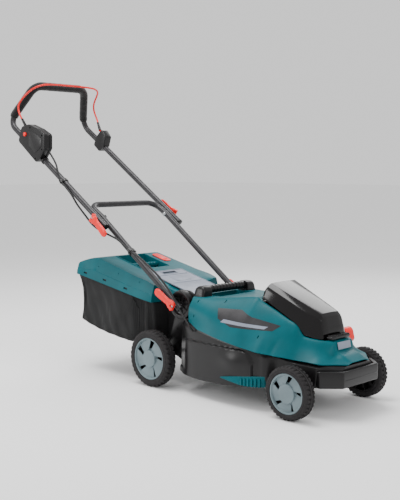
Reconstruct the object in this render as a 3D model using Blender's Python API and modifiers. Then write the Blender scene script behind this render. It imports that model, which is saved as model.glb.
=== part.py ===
"""A cordless walk-behind lawn mower with a rear grass box and a two-stage folding handle.

Metres. +X is forward, +Y is the operator's left and +Z is up. The wheels stand on Z = 0 and the
origin is below the middle of the overall length and width. Every piece is an object of its own.
"""

import math

import bmesh
import bpy
from mathutils import Matrix, Quaternion, Vector

# Wheels and axles. Each axle is a rod with a crank at both ends, so turning it lifts the deck.
REAR_RADIUS = 0.089
FRONT_RADIUS = 0.075
REAR_RIM_RADIUS = 0.0665
FRONT_RIM_RADIUS = 0.0572
TYRE_WIDTH = 0.040
REAR_X = 0.065
FRONT_X = 0.615
REAR_WHEEL_Y = 0.1755
FRONT_WHEEL_Y = 0.1788
CRANK_LENGTH = 0.036
CRANK_ANGLE = math.radians(40)
CRANK_Y = 0.148
AXLE_RADIUS = 0.005
LINK_ARM = 0.036
LINK_ARM_ANGLE = math.radians(110)
LINK_Y = 0.1030

# Handle. The lower frame turns at the deck, and the upper frame turns at its end.
LOWER_PIVOT = (0.147, 0.262)
UPPER_PIVOT = (-0.208, 0.522)
LOWER_Y = 0.1485
UPPER_Y = 0.171
LOWER_TUBE = 0.010
UPPER_TUBE = 0.0105
TUBE_WALL = 0.0013
LOWER_END = (0.161, 0.2515)
CROSSBAR = (-0.274, 0.561)
UPPER_END = (-0.163, 0.492)
HANDLE_BEND = (-0.706, 0.855)
GRIP_BAR = (-0.624, 0.985)
GRIP_BAR_Y = 0.114
GRIP_RADIUS = 0.0155
BAIL_PIVOT = (-0.588, 0.808)
BAIL_RADIUS = 0.0033
LOCK_BUTTON = (-0.578, 0.806)
BRACKET_RADIUS = 0.045
BOLT_RADIUS = 0.003
LEVER_LENGTH = 0.088
LEVER_THICKNESS = 0.0125
LEVER_ROOT_HALF = 0.0120
LEVER_TIP_RADIUS = 0.0125
LEVER_BARREL_HALF = 0.0160
LOWER_LEVER_ANGLE = 151
UPPER_LEVER_ANGLES = {"right": -40, "left": 150}

# Deck, motor and blade.
BLADE_X = 0.365
BLADE_Z = 0.074
SHELL = 0.003
CHEEK_Y = (0.108, 0.114)

# Discharge flap and battery lid hinges.
FLAP_HINGE = (0.1555, 0.2865)
FLAP_REAR = (-0.061, 0.343)
LID_HINGE = (0.4335, 0.3125)

CABLE_RADIUS = 0.0033
FRAME_SHIFT = 0.0106
GAP = 0.0003
SIDES = {"right": -1, "left": 1}


# ---------------------------------------------------------------- scene and materials

def clear_scene():
    for item in list(bpy.data.objects):
        bpy.data.objects.remove(item, do_unlink=True)


def new_collection(name, helper=False):
    collection = bpy.data.collections.new(name)
    collection.hide_render = helper
    bpy.context.scene.collection.children.link(collection)
    return collection


def linear(value):
    """One sRGB channel, 0 to 255, as the linear value that a shader takes."""
    v = value / 255
    return v / 12.92 if v <= 0.04045 else ((v + 0.055) / 1.055) ** 2.4


def new_material(name, rgb, roughness, metallic=0.0):
    material = bpy.data.materials.new(name)
    material.use_nodes = True
    shader = material.node_tree.nodes["Principled BSDF"]
    shader.inputs["Base Color"].default_value = (*[linear(c) for c in rgb], 1.0)
    shader.inputs["Roughness"].default_value = roughness
    shader.inputs["Metallic"].default_value = metallic
    return material


clear_scene()
PARTS = new_collection("lawn_mower")
CUTTERS = new_collection("cutters", helper=True)

TEAL = new_material("teal_plastic", (48, 128, 134), 0.42)
DARK = new_material("black_plastic", (40, 39, 40), 0.45)
SMOKED = new_material("smoked_lid", (34, 31, 33), 0.12)
GREY = new_material("grey_plastic", (126, 138, 142), 0.5)
FLAP_GREY = new_material("flap_plastic", (120, 124, 132), 0.45)
RED = new_material("red_plastic", (214, 60, 52), 0.4)
RUBBER = new_material("tyre_rubber", (58, 56, 57), 0.75)
FOAM = new_material("grip_foam", (34, 32, 33), 0.9)
CLOTH = new_material("bag_fabric", (30, 30, 31), 0.95)
TUBE_PAINT = new_material("painted_tube", (66, 66, 68), 0.4, 0.3)
RED_PAINT = new_material("bail_paint", (205, 52, 48), 0.35)
STEEL = new_material("bright_steel", (168, 170, 172), 0.3, 1.0)
BLADE_STEEL = new_material("blade_steel", (70, 72, 74), 0.4, 1.0)
SHEATH = new_material("cable_sheath", (32, 31, 32), 0.6)


# ---------------------------------------------------------------- shapes

def put(name, mesh, material, collection=None):
    obj = bpy.data.objects.new(name, mesh)
    (collection or PARTS).objects.link(obj)
    if material:
        mesh.materials.append(material)
    return obj


def mesh_object(name, bm, material):
    mesh = bpy.data.meshes.new(name)
    bm.to_mesh(mesh)
    bm.free()
    return put(name, mesh, material)


def add_bevel(obj, width, segments=1):
    modifier = obj.modifiers.new("rounded_edges", "BEVEL")
    modifier.width = width
    modifier.segments = segments
    modifier.limit_method = "ANGLE"


def smooth(obj, degrees=35):
    obj.data.shade_smooth()
    obj.data.set_sharp_from_angle(angle=math.radians(degrees))


def box(name, low, high, material, bevel=0.0, turn=0.0):
    """A box between two corners, turned about Y through its own centre."""
    low, high = Vector(low), Vector(high)
    bm = bmesh.new()
    bmesh.ops.create_cube(bm, size=1, matrix=Matrix.Diagonal((*(high - low), 1)))
    obj = mesh_object(name, bm, material)
    obj.matrix_world = Matrix.Translation((low + high) / 2) @ Matrix.Rotation(turn, 4, "Y")
    if bevel:
        add_bevel(obj, bevel)
    return obj


def turned(name, profile, centre, axis, material, steps=32):
    """A turned piece. The profile is (radius, height) pairs that run down its outer side."""
    bm = bmesh.new()
    ring = [bm.verts.new((radius, 0, height)) for radius, height in profile]
    for start, end in zip(ring, ring[1:]):
        bm.edges.new((start, end))
    if profile[0][0] > 0:
        bm.edges.new((ring[-1], ring[0]))
    obj = mesh_object(name, bm, material)
    screw = obj.modifiers.new("turn", "SCREW")
    screw.steps = steps
    screw.render_steps = steps
    screw.use_merge_vertices = True
    screw.merge_threshold = 0.00001
    screw.use_smooth_shade = True
    turn = Vector((0, 0, 1)).rotation_difference(Vector(axis))
    obj.matrix_world = Matrix.Translation(centre) @ turn.to_matrix().to_4x4()
    return obj


def disc(name, radius, centre, axis, length, material=None, steps=24):
    """A cylinder that starts at centre and runs along axis."""
    bm = bmesh.new()
    bmesh.ops.create_cone(bm, cap_ends=True, segments=steps, radius1=radius, radius2=radius, depth=length)
    obj = mesh_object(name, bm, material)
    turn = Vector((0, 0, 1)).rotation_difference(Vector(axis))
    middle = Vector(centre) + Vector(axis) * length / 2
    obj.matrix_world = Matrix.Translation(middle) @ turn.to_matrix().to_4x4()
    return obj


def rounded(corners, radius, steps=4, closed=True):
    """The corners' path with each corner turned into an arc, shortened where a side is too short."""
    corners = [Vector(c).to_3d() for c in corners]
    count = len(corners)
    path = []
    for i, corner in enumerate(corners):
        if not closed and i in (0, count - 1):
            path.append(corner)
            continue
        back = corners[i - 1] - corner
        ahead = corners[(i + 1) % count] - corner
        half = back.angle(ahead) / 2
        reach = min(radius / math.tan(half), 0.49 * back.length, 0.49 * ahead.length)
        if reach < 1e-5:
            path.append(corner)
            continue
        back.normalize()
        ahead.normalize()
        centre = corner + (back + ahead).normalized() * reach / math.cos(half)
        start = corner + back * reach - centre
        end = corner + ahead * reach - centre
        turn = start.rotation_difference(end)
        for k in range(steps + 1):
            path.append(centre + Quaternion().slerp(turn, k / steps) @ start)
    return path


def as_mesh(obj):
    """The same piece as a mesh with its caps welded, so that it can be cut."""
    bpy.context.view_layer.update()
    graph = bpy.context.evaluated_depsgraph_get()
    mesh = bpy.data.meshes.new_from_object(obj.evaluated_get(graph))
    bm = bmesh.new()
    bm.from_mesh(mesh)
    bmesh.ops.remove_doubles(bm, verts=bm.verts, dist=0.00001)
    bmesh.ops.recalc_face_normals(bm, faces=bm.faces)
    bm.to_mesh(mesh)
    bm.free()
    name, world = obj.name, obj.matrix_world.copy()
    bpy.data.objects.remove(obj, do_unlink=True)
    mesh.name = name
    solid = put(name, mesh, None)
    solid.matrix_world = world
    return solid


def plate(name, outline, low, high, material, plane="XZ"):
    """A flat outline of (first, second) coordinates of its plane, from low to high across it."""
    curve = bpy.data.curves.new(name, "CURVE")
    curve.dimensions = "2D"
    curve.fill_mode = "BOTH"
    curve.extrude = (high - low) / 2
    spline = curve.splines.new("POLY")
    spline.points.add(len(outline) - 1)
    for point, corner in zip(spline.points, outline):
        point.co = (corner[0], corner[1], 0, 1)
    spline.use_cyclic_u = True
    obj = put(name, curve, material)
    middle = (low + high) / 2
    if plane == "XZ":
        obj.matrix_world = Matrix.Translation((0, middle, 0)) @ Matrix.Rotation(math.pi / 2, 4, "X")
    else:
        obj.location = (0, 0, middle)
    return as_mesh(obj)


def tube(name, path, radius, material, sides=12, wall=0.0):
    """A round bar along a path, or with a wall an open tube."""
    curve = bpy.data.curves.new(name, "CURVE")
    curve.dimensions = "3D"
    curve.bevel_depth = radius
    curve.bevel_resolution = sides // 2 - 2
    curve.use_fill_caps = not wall
    spline = curve.splines.new("POLY")
    spline.points.add(len(path) - 1)
    for point, place in zip(spline.points, path):
        point.co = (*place, 1)
    obj = as_mesh(put(name, curve, material))
    if wall:
        add_wall(obj, wall)
    smooth(obj)
    return obj


def add_wall(obj, thickness, even=True):
    solidify = obj.modifiers.new("wall", "SOLIDIFY")
    solidify.thickness = thickness
    solidify.offset = -1
    solidify.use_even_offset = even


def skin(name, rows, material, thickness):
    """A shell through rows of points on the left half, mirrored to the right."""
    bm = bmesh.new()
    grid = [[bm.verts.new(point) for point in row] for row in rows]
    for near, far in zip(grid, grid[1:]):
        for i in range(len(near) - 1):
            bm.faces.new((near[i], far[i], far[i + 1], near[i + 1]))
    obj = mesh_object(name, bm, material)
    mirror = obj.modifiers.new("both_sides", "MIRROR")
    mirror.use_axis = (False, True, False)
    mirror.use_clip = True
    mirror.merge_threshold = 0.00001
    add_wall(obj, thickness, even=False)
    obj.modifiers.new("flat_faces", "TRIANGULATE")
    return obj


def cut(obj, *tools, operation="DIFFERENCE"):
    """Takes the tools away from the object, or joins them to it, and puts them with the cutters."""
    for tool in tools:
        modifier = obj.modifiers.new(operation.lower(), "BOOLEAN")
        modifier.operation = operation
        modifier.solver = "EXACT"
        modifier.object = tool
        PARTS.objects.unlink(tool)
        CUTTERS.objects.link(tool)
        tool.hide_render = True
        tool.display_type = "WIRE"


def join(obj, *tools):
    cut(obj, *tools, operation="UNION")


def moving(name, place, *pieces):
    """An empty on a joint's axis that carries its pieces."""
    empty = bpy.data.objects.new(name, None)
    PARTS.objects.link(empty)
    empty.location = place
    bpy.context.view_layer.update()
    for piece in pieces:
        piece.parent = empty
        piece.matrix_parent_inverse = empty.matrix_world.inverted()
    return empty


def at(place, y):
    """A point from an (x, z) pair and a y."""
    return (place[0], y, place[1])


def toward(start, angle, distance):
    """The (x, z) pair that far from start, the angle measured up from +X."""
    return (start[0] + distance * math.cos(angle), start[1] + distance * math.sin(angle))


FRONT_HUB = (FRONT_X, FRONT_RADIUS)
REAR_HUB = (REAR_X, REAR_RADIUS)
FRONT_PIVOT = toward(FRONT_HUB, CRANK_ANGLE, CRANK_LENGTH)
REAR_PIVOT = toward(REAR_HUB, CRANK_ANGLE, CRANK_LENGTH)
FRONT_PIN = toward(FRONT_PIVOT, LINK_ARM_ANGLE, LINK_ARM)
REAR_PIN = toward(REAR_PIVOT, LINK_ARM_ANGLE, LINK_ARM)


# ---------------------------------------------------------------- deck

def housing_rows():
    """Half sections of the deck: x, then y and z of the roof's edge, the shoulder and the hem."""
    sections = (
        (0.160, 0.130, 0.2155, 0.138, 0.2060, 0.144, 0.062),
        (0.200, 0.148, 0.2150, 0.160, 0.2020, 0.162, 0.056),
        (0.260, 0.163, 0.210, 0.170, 0.196, 0.174, 0.055),
        (0.365, 0.168, 0.193, 0.176, 0.181, 0.181, 0.058),
        (0.450, 0.164, 0.180, 0.171, 0.168, 0.176, 0.064),
        (0.500, 0.152, 0.172, 0.158, 0.160, 0.163, 0.070),
        (0.540, 0.132, 0.1600, 0.1375, 0.153, 0.142, 0.075),
        (0.600, 0.115, 0.1475, 0.1260, 0.142, 0.134, 0.083),
        (0.660, 0.103, 0.1465, 0.1190, 0.139, 0.129, 0.087),
        (0.667, 0.102, 0.1460, 0.1110, 0.138, 0.119, 0.087),
        (0.7125, 0.058, 0.1435, 0.070, 0.135, 0.078, 0.087),
    )
    rows = []
    for x, roof_y, roof_z, shoulder_y, shoulder_z, hem_y, hem_z in sections:
        rows.append([(x, 0, roof_z), (x, roof_y, roof_z), (x, shoulder_y, shoulder_z), (x, hem_y, hem_z)])
    front = sections[-1]
    nose = [(front[0] + 0.001, y, 0.087) for y in (0, front[1], front[3], front[5])]
    return [*rows, nose]


def deck_housing():
    deck = skin("deck_housing", housing_rows(), DARK, SHELL)
    rear_wall = plate(
        "rear_wall",
        [(-0.141, 0.064), (0.141, 0.064), (0.135, 0.208), (-0.135, 0.208)],
        0.1605, 0.1640, None, plane="XY",
    )
    rear_wall.matrix_world = Matrix(((0, 0, 1, 0.16225), (1, 0, 0, 0), (0, 1, 0, 0), (0, 0, 0, 1)))
    chute = box("chute_opening", (0.155, -0.088, 0.128), (0.170, 0.088, 0.196), None)
    link_slot = box("link_slot", (0.155, 0.097, 0.130), (0.170, 0.108, 0.156), None)
    cut(rear_wall, chute, link_slot)
    join(deck, rear_wall)
    outline = rounded(
        [(0.163, 0.068), (0.163, 0.218), (0.192, 0.222), (0.192, 0.307), (0.102, 0.307),
         (0.102, 0.220), (0.074, 0.130), (0.074, 0.094), (0.112, 0.094)],
        0.030, steps=3,
    )
    for name, side in SIDES.items():
        low, high = sorted(side * y for y in CHEEK_Y)
        cheek = plate(f"cheek_{name}", outline, low, high, None)
        join(deck, cheek)
    across = (0, 1, 0)
    for place, radius in ((FRONT_PIVOT, 0.0062), (REAR_PIVOT, 0.0062), (LOWER_PIVOT, 0.0038), (FLAP_HINGE, 0.0031)):
        cut(deck, disc("bearing_hole", radius, at(place, -0.2), across, 0.4, steps=16))
    join(deck, disc("motor_seat", 0.055, (BLADE_X, 0, 0.180), (0, 0, 1), 0.0235, steps=28))
    cut(deck, disc("shaft_hole", 0.012, (BLADE_X, 0, 0.15), (0, 0, 1), 0.1))
    return deck


def front_bumper():
    half = [(0.6676, 0.1297), (0.6760, 0.1285), (0.7255, 0.084)]
    inner = [(0.7140, 0.0785), (0.6682, 0.1200)]
    right = [(x, -y) for x, y in reversed(half)]
    outline = [*half, *right, *[(x, -y) for x, y in reversed(inner)], *inner]
    bumper = plate("front_bumper", outline, 0.087, 0.134, DARK, plane="XY")
    add_bevel(bumper, 0.0015)
    return bumper


def cover_rows():
    """Half sections of the cover: x, then y and z of the top's edge, the flank and the hem."""
    sections = (
        (0.165, 0.100, 0.2900, 0.150, 0.266, 0.166, 0.213),
        (0.190, 0.108, 0.2915, 0.154, 0.268, 0.168, 0.211),
        (0.214, 0.118, 0.2925, 0.156, 0.264, 0.170, 0.209),
        (0.270, 0.112, 0.2950, 0.157, 0.258, 0.177, 0.203),
        (0.340, 0.098, 0.3020, 0.152, 0.250, 0.182, 0.190),
        (0.417, 0.083, 0.3130, 0.142, 0.242, 0.182, 0.178),
        (0.424, 0.083, 0.3035, 0.141, 0.239, 0.1815, 0.177),
        (0.480, 0.083, 0.2786, 0.128, 0.222, 0.173, 0.169),
        (0.530, 0.083, 0.2564, 0.115, 0.205, 0.152, 0.161),
        (0.560, 0.083, 0.2435, 0.107, 0.196, 0.136, 0.157),
        (0.585, 0.080, 0.2130, 0.098, 0.186, 0.124, 0.153),
        (0.633, 0.063, 0.2050, 0.085, 0.178, 0.1155, 0.1515),
        (0.662, 0.042, 0.2010, 0.062, 0.171, 0.1125, 0.1505),
        (0.667, 0.040, 0.1770, 0.056, 0.164, 0.108, 0.1500),
        (0.690, 0.038, 0.1670, 0.050, 0.158, 0.080, 0.1490),
        (0.716, 0.036, 0.1520, 0.044, 0.150, 0.050, 0.1480),
    )
    first = sections[0]
    rows = [[(first[0] - 0.001, y, min(z, 0.222)) for y, z in ((0, 1), (first[1], 1), (first[3], 1), first[5:7])]]
    for x, top_y, top_z, flank_y, flank_z, hem_y, hem_z in sections:
        rows.append([(x, 0, top_z), (x, top_y, top_z), (x, flank_y, flank_z), (x, hem_y, hem_z)])
    return rows


REAR_CORNER = (
    (0.100, 0.100), (0.262, 0.100), (0.262, 0.2035), (0.253, 0.2070), (0.2165, 0.2225),
    (0.2115, 0.262), (0.2095, 0.285), (0.195, 0.300), (0.100, 0.300),
)


def deck_cover():
    cover = skin("deck_cover", cover_rows(), TEAL, SHELL)
    half = [(0.4275, 0.0778), (0.5740, 0.0778), (0.5860, 0.0735), (0.6200, 0.0590), (0.6395, 0.0520)]
    bay = plate("bay_opening", [*half, *[(x, -y) for x, y in reversed(half)]], 0.150, 0.400, None, plane="XY")
    cut(cover, bay)
    block = box("recess_block", (0.186, -0.080, 0.258), (0.268, 0.080, 0.2925), None)
    recess = box("recess_hollow", (0.190, -0.076, 0.262), (0.264, 0.076, 0.320), None)
    join(cover, block)
    cut(cover, recess)
    for side in SIDES.values():
        centre = at(LOWER_PIVOT, side * 0.1067)
        ring = disc("bracket_clearance", BRACKET_RADIUS + 0.0071, centre, (0, side, 0), 0.1, steps=34)
        low, high = sorted((side * 0.105, side * 0.200))
        cut(cover, ring, plate("rear_corner", REAR_CORNER, low, high, None))
    return cover


def carry_handle():
    bar = [(0.214, -0.112, 0.312), (0.214, 0.112, 0.312)]
    handle = tube("carry_handle", bar, 0.0125, DARK, sides=12)
    square = [(0.193, 0.2955), (0.235, 0.2955), (0.235, 0.325), (0.193, 0.325)]
    round_top = rounded(square, 0.013)[len(square) // 2 * 5:]
    outline = [*square[:2], *round_top]
    for name, side in SIDES.items():
        low, high = sorted((side * 0.084, side * 0.117))
        join(handle, plate(f"post_{name}", outline, low, high, None))
    return handle


def handle_bracket(name, side):
    profile = [(0.0038, 0.0180), (0.030, 0.0180), (0.033, 0.0227), (BRACKET_RADIUS, 0.0227), (BRACKET_RADIUS, 0.0)]
    return turned(
        f"handle_bracket_{name}", [*profile, (0.0038, 0.0)],
        at(LOWER_PIVOT, side * (CHEEK_Y[1] + GAP)), (0, side, 0), DARK, steps=36,
    )


def grass_comb(name, side):
    """The comb that guides grass to the blade along the hem of one side."""
    stations = ((0.368, 0.1814, 0.0790, 0.0815), (0.405, 0.1797, 0.0730, 0.0880), (0.450, 0.1768, 0.066, 0.094),
                (0.500, 0.1638, 0.068, 0.099), (0.512, 0.1577, 0.069, 0.100))
    bm = bmesh.new()
    rings = []
    for x, y, low, high in stations:
        corners = ((y + 0.0008, low), (y + 0.0058, low), (y + 0.0058, high), (y + 0.0008, high))
        rings.append([bm.verts.new((x, side * across, up)) for across, up in corners])
    for near, far in zip(rings, rings[1:]):
        for i in range(4):
            bm.faces.new((near[i], near[(i + 1) % 4], far[(i + 1) % 4], far[i]))
    bm.faces.new(rings[0])
    bm.faces.new(rings[-1])
    bmesh.ops.recalc_face_normals(bm, faces=bm.faces)
    comb = mesh_object(f"grass_comb_{name}", bm, TEAL)
    for k in range(4):
        x = 0.446 + k * 0.015
        cut(comb, box("comb_slot", (x, side * 0.175 - 0.03, 0.060), (x + 0.006, side * 0.175 + 0.03, 0.088), None))
    return comb


def discharge_flap():
    """The flap over the chute lies on the grass box, with a finger notch at its rear edge."""
    rear, hinge = Vector(FLAP_REAR), Vector((0.1450, 0.2905))
    thickness = 0.003
    drop = Vector((0, -thickness))
    outline = [rear, hinge, hinge + drop, rear + drop]
    flap = plate("discharge_flap", outline, -0.077, 0.077, FLAP_GREY)
    barrel = disc("flap_barrel", 0.0052, at(FLAP_HINGE, -0.070), (0, 1, 0), 0.140, steps=16)
    web = box("flap_web", (0.140, -0.070, 0.2868), (0.1545, 0.070, 0.2900), None)
    join(flap, web, barrel)
    cut(flap, disc("flap_bore", 0.0031, at(FLAP_HINGE, -0.09), (0, 1, 0), 0.18, steps=16))
    notch = box("finger_notch", (-0.046, -0.030, 0.30), (-0.030, 0.030, 0.36), None)
    cut(flap, notch)
    return flap


def flap_rod():
    return disc("flap_rod", 0.0026, at(FLAP_HINGE, -0.1138), (0, 1, 0), 0.2276, STEEL, steps=12)


# ---------------------------------------------------------------- motor and blade

def motor():
    up = (0, 0, 1)
    centre = (BLADE_X, 0, 0)
    turned(
        "motor_housing",
        [(0, 0.252), (0.046, 0.252), (0.052, 0.246), (0.052, 0.2038), (0.046, 0.2038), (0.046, 0.245), (0, 0.245)],
        centre, up, DARK, steps=32,
    )
    rotor = turned(
        "motor_rotor",
        [(0, 0.2420), (0.007, 0.2420), (0.007, 0.2380), (0.042, 0.2380), (0.042, 0.2070), (0.0085, 0.2070),
         (0.0085, 0.0960), (0.0055, 0.0960), (0.0055, 0.0655), (0, 0.0655)],
        centre, up, STEEL, steps=24,
    )
    fan = turned(
        "blade_fan",
        [(0.0060, 0.0950), (0.018, 0.0950), (0.024, 0.0850), (0.048, 0.0800), (0.048, 0.0763), (0.0060, 0.0763)],
        centre, up, DARK, steps=24,
    )
    bolt = turned(
        "blade_bolt",
        [(0.0060, 0.0722), (0.016, 0.0722), (0.016, 0.0695), (0.0100, 0.0695), (0.0100, 0.0610), (0, 0.0610),
         (0, 0.0650), (0.0060, 0.0650)],
        centre, up, STEEL, steps=12,
    )
    half = [(-0.163, -0.020), (-0.120, -0.024), (0.120, -0.024), (0.163, -0.010)]
    outline = [(BLADE_X + y, x) for x, y in half] + [(BLADE_X - y, -x) for x, y in half]
    blade = plate("blade", outline, BLADE_Z - 0.0013, BLADE_Z + 0.0015, BLADE_STEEL, plane="XY")
    cut(blade, disc("blade_hole", 0.0060, (BLADE_X, 0, 0.06), up, 0.03, steps=16))
    for side in SIDES.values():
        wing = box("blade_wing", (BLADE_X - 0.0245, -0.022, 0), (BLADE_X - 0.012, 0.022, 0.003), None, turn=0.5)
        wing.location = (BLADE_X + side * 0.0245, side * 0.139, BLADE_Z + 0.0035)
        wing.rotation_euler.z = math.pi if side > 0 else 0
        join(blade, wing)
    box("motor_controller", (0.196, 0.030, 0.2160), (0.290, 0.080, 0.2500), DARK, bevel=0.002)
    return rotor, fan, blade, bolt


# ---------------------------------------------------------------- battery bay

def plan(name, inset, low, high):
    """The battery bay seen from above, narrowing towards the front as the lid does."""
    half = [(0.4285, 0.0770), (0.5730, 0.0770), (0.5850, 0.0728), (0.6195, 0.0583), (0.6385, 0.0513)]
    half = [(x - inset if x > 0.5 else x + inset, y - inset) for x, y in half]
    return plate(name, [*half, *[(x, -y) for x, y in reversed(half)]], low, high, None, plane="XY")


def battery_tray():
    """The open bay under the lid, with its floor and rim along the lid's slope."""
    outer = [(0.4285, 0.2985), (0.560, 0.2380), (0.584, 0.2075), (0.6385, 0.1985), (0.6385, 0.1640), (0.4285, 0.1980)]
    tray = plate("battery_tray", outer, -0.0780, 0.0780, DARK)
    cut(tray, plan("tray_plan", 0, 0.1, 0.4), operation="INTERSECT")
    inner = [(0.4200, 0.330), (0.6500, 0.330), (0.6500, 0.1652), (0.4200, 0.2034)]
    hollow = plate("tray_hollow", inner, -0.0780, 0.0780, None)
    cut(hollow, plan("hollow_plan", 0.003, 0.1, 0.4), operation="INTERSECT")
    cut(tray, hollow)
    return tray


def battery_pack(name, side):
    low, high = sorted((side * 0.0015, side * 0.0650))
    pack = box(f"battery_pack_{name}", (0.452, low, 0.2105), (0.578, high, 0.2645), DARK, bevel=0.004, turn=0.435)
    rail = box("pack_rail", (0.470, low + 0.015, 0.2600), (0.560, high - 0.015, 0.2760), None, turn=0.435)
    join(pack, rail)
    return pack


def battery_lid():
    """The lid's half sections: x, then y and z of the top's edge, the chamfer and the hem."""
    sections = (
        (0.4460, 0.061, 0.3500, 0.069, 0.3440, 0.080, 0.3020),
        (0.5600, 0.051, 0.3000, 0.062, 0.2930, 0.0815, 0.2460),
        (0.5850, 0.049, 0.2890, 0.060, 0.2800, 0.077, 0.2165),
        (0.6200, 0.045, 0.2730, 0.052, 0.2660, 0.063, 0.2085),
    )
    rear_x = 0.4310
    rows = [[(rear_x, 0, 0.3075), (rear_x, 0.058, 0.3075), (rear_x, 0.070, 0.3075), (rear_x, 0.080, 0.3050)]]
    for x, top_y, top_z, chamfer_y, chamfer_z, hem_y, hem_z in sections:
        rows.append([(x, 0, top_z), (x, top_y, top_z), (x, chamfer_y, chamfer_z), (x, hem_y, hem_z)])
    rows.append([(0.6330, 0, 0.2085), (0.6330, 0.040, 0.2085), (0.6325, 0.050, 0.2085), (0.6310, 0.0590, 0.2082)])
    return skin("battery_lid", rows, SMOKED, 0.0025)


def lid_latch():
    latch = box("lid_latch", (0.6365, -0.0440, 0.2068), (0.6570, 0.0440, 0.2180), DARK, bevel=0.0035)
    return latch


def safety_key():
    key = box("safety_key", (0.6100, -0.0100, 0.1745), (0.6160, 0.0100, 0.1960), RED, bevel=0.001)
    return key


# ---------------------------------------------------------------- wheels and height adjustment

def wheel(name, side, hub, wheel_y, radius, rim_radius):
    half = TYRE_WIDTH / 2
    centre = at(hub, side * wheel_y)
    outward = (0, side, 0)
    tyre = turned(
        f"tyre_{name}",
        [(radius - 0.006, half), (radius, half - 0.007), (radius, 0.007 - half), (radius - 0.006, -half),
         (rim_radius, -half), (rim_radius, half - 0.0005)],
        centre, outward, RUBBER, steps=32,
    )
    boss = 0.0270
    rim = turned(
        f"wheel_{name}",
        [(0, half - 0.0015), (boss, half - 0.0015),
         (boss + 0.002, half - 0.0045), (rim_radius - 0.004, half - 0.0045),
         (rim_radius - GAP, half - 0.002), (rim_radius - GAP, 0.002 - half),
         (rim_radius - 0.004, 0.002 - half), (rim_radius - 0.004, half - 0.0095), (0.013, half - 0.0095),
         (0.013, 0.001 - half), (AXLE_RADIUS + 0.0005, 0.001 - half), (AXLE_RADIUS + 0.0005, half - 0.0075),
         (0, half - 0.0075)],
        centre, outward, GREY, steps=24,
    )
    window_middle = (boss + rim_radius - 0.004) / 2
    for k in range(5):
        angle = math.radians(90 + 72 * k)
        window = box("wheel_window", (-0.004, -0.02, -0.0095), (0.004, 0.02, 0.0095), None)
        place = toward(hub, angle, window_middle)
        window.matrix_world = Matrix.Translation(at(place, side * (wheel_y + half - 0.008))) @ Matrix.Rotation(
            math.pi / 2 - angle + 0.45 * side, 4, "Y")
        cut(rim, window)
    return tyre, rim


def crank_axle(name, hub, pivot, wheel_y):
    """A rod bent at both ends into a crank and a stub for the wheel, with the height link's arm on it."""
    end = wheel_y + TYRE_WIDTH / 2 - 0.0085
    half = [at(hub, -end), at(hub, -CRANK_Y), at(pivot, -CRANK_Y)]
    other = [(x, -y, z) for x, y, z in reversed(half)]
    axle = tube(name, rounded([*half, *other], 0.007, steps=2, closed=False), AXLE_RADIUS, STEEL, sides=10)
    pin = toward(pivot, LINK_ARM_ANGLE, LINK_ARM)
    across = Vector(toward((0, 0), LINK_ARM_ANGLE + math.pi / 2, 0.0075))
    along = Vector(toward((0, 0), LINK_ARM_ANGLE, 0.0065))
    corners = [Vector(pivot) - along + across, Vector(pin) + along + across,
               Vector(pin) + along - across, Vector(pivot) - along - across]
    arm = plate(f"{name}_arm", rounded(corners, 0.006, steps=2), LINK_Y - 0.0055, LINK_Y - 0.0020, None)
    stud = disc(f"{name}_stud", 0.0038, at(pin, LINK_Y - 0.0040), (0, 1, 0), 0.0070, steps=12)
    join(axle, arm, stud)
    return axle


def height_link():
    """The flat bar that makes both axles turn together. Its rear eye is the linkage's open pivot."""
    along = (Vector(FRONT_PIN) - Vector(REAR_PIN)).normalized() * 0.009
    across = Vector((-along.y, along.x)) * 0.8
    corners = [Vector(REAR_PIN) - along - across, Vector(FRONT_PIN) + along - across,
               Vector(FRONT_PIN) + along + across, Vector(REAR_PIN) - along + across]
    link = plate("height_link", rounded(corners, 0.006, steps=3), LINK_Y - 0.0015, LINK_Y + 0.0015, STEEL)
    for pin, radius in ((FRONT_PIN, 0.0042), (REAR_PIN, 0.0046)):
        cut(link, disc("link_eye", radius, at(pin, LINK_Y - 0.01), (0, 1, 0), 0.02, steps=16))
    return link


def height_lever():
    """The hand lever on the front axle's left end, with a hooked knob above the wheel."""
    knob_root, knob_top = (0.5680, 0.1600), (0.5590, 0.2010)
    pivot = Vector(FRONT_PIVOT)
    along = (Vector(knob_root) - pivot).normalized()
    across = Vector((-along.y, along.x)) * 0.007
    arm_corners = [pivot - along * 0.010 + across * 1.6, pivot - along * 0.010 - across * 1.6,
                   Vector(knob_root) - across, Vector(knob_top) - across, Vector(knob_top) + across,
                   Vector(knob_root) + across]
    lever = plate("height_lever", rounded(arm_corners, 0.005, steps=3), 0.1355, 0.1410, RED)
    knob_corners = [(0.5530, 0.1650), (0.5760, 0.1660), (0.5700, 0.2030), (0.5480, 0.2020)]
    knob = plate("height_knob", rounded(knob_corners, 0.007, steps=3), 0.1455, 0.1850, None)
    bridge = box("knob_bridge", (0.5540, 0.1370, 0.1860), (0.5660, 0.1480, 0.1960), None)
    join(lever, knob, bridge)
    cut(lever, disc("lever_bore", AXLE_RADIUS + 0.0004, at(FRONT_PIVOT, 0.12), (0, 1, 0), 0.04, steps=20))
    return lever


# ---------------------------------------------------------------- grass box

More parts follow.
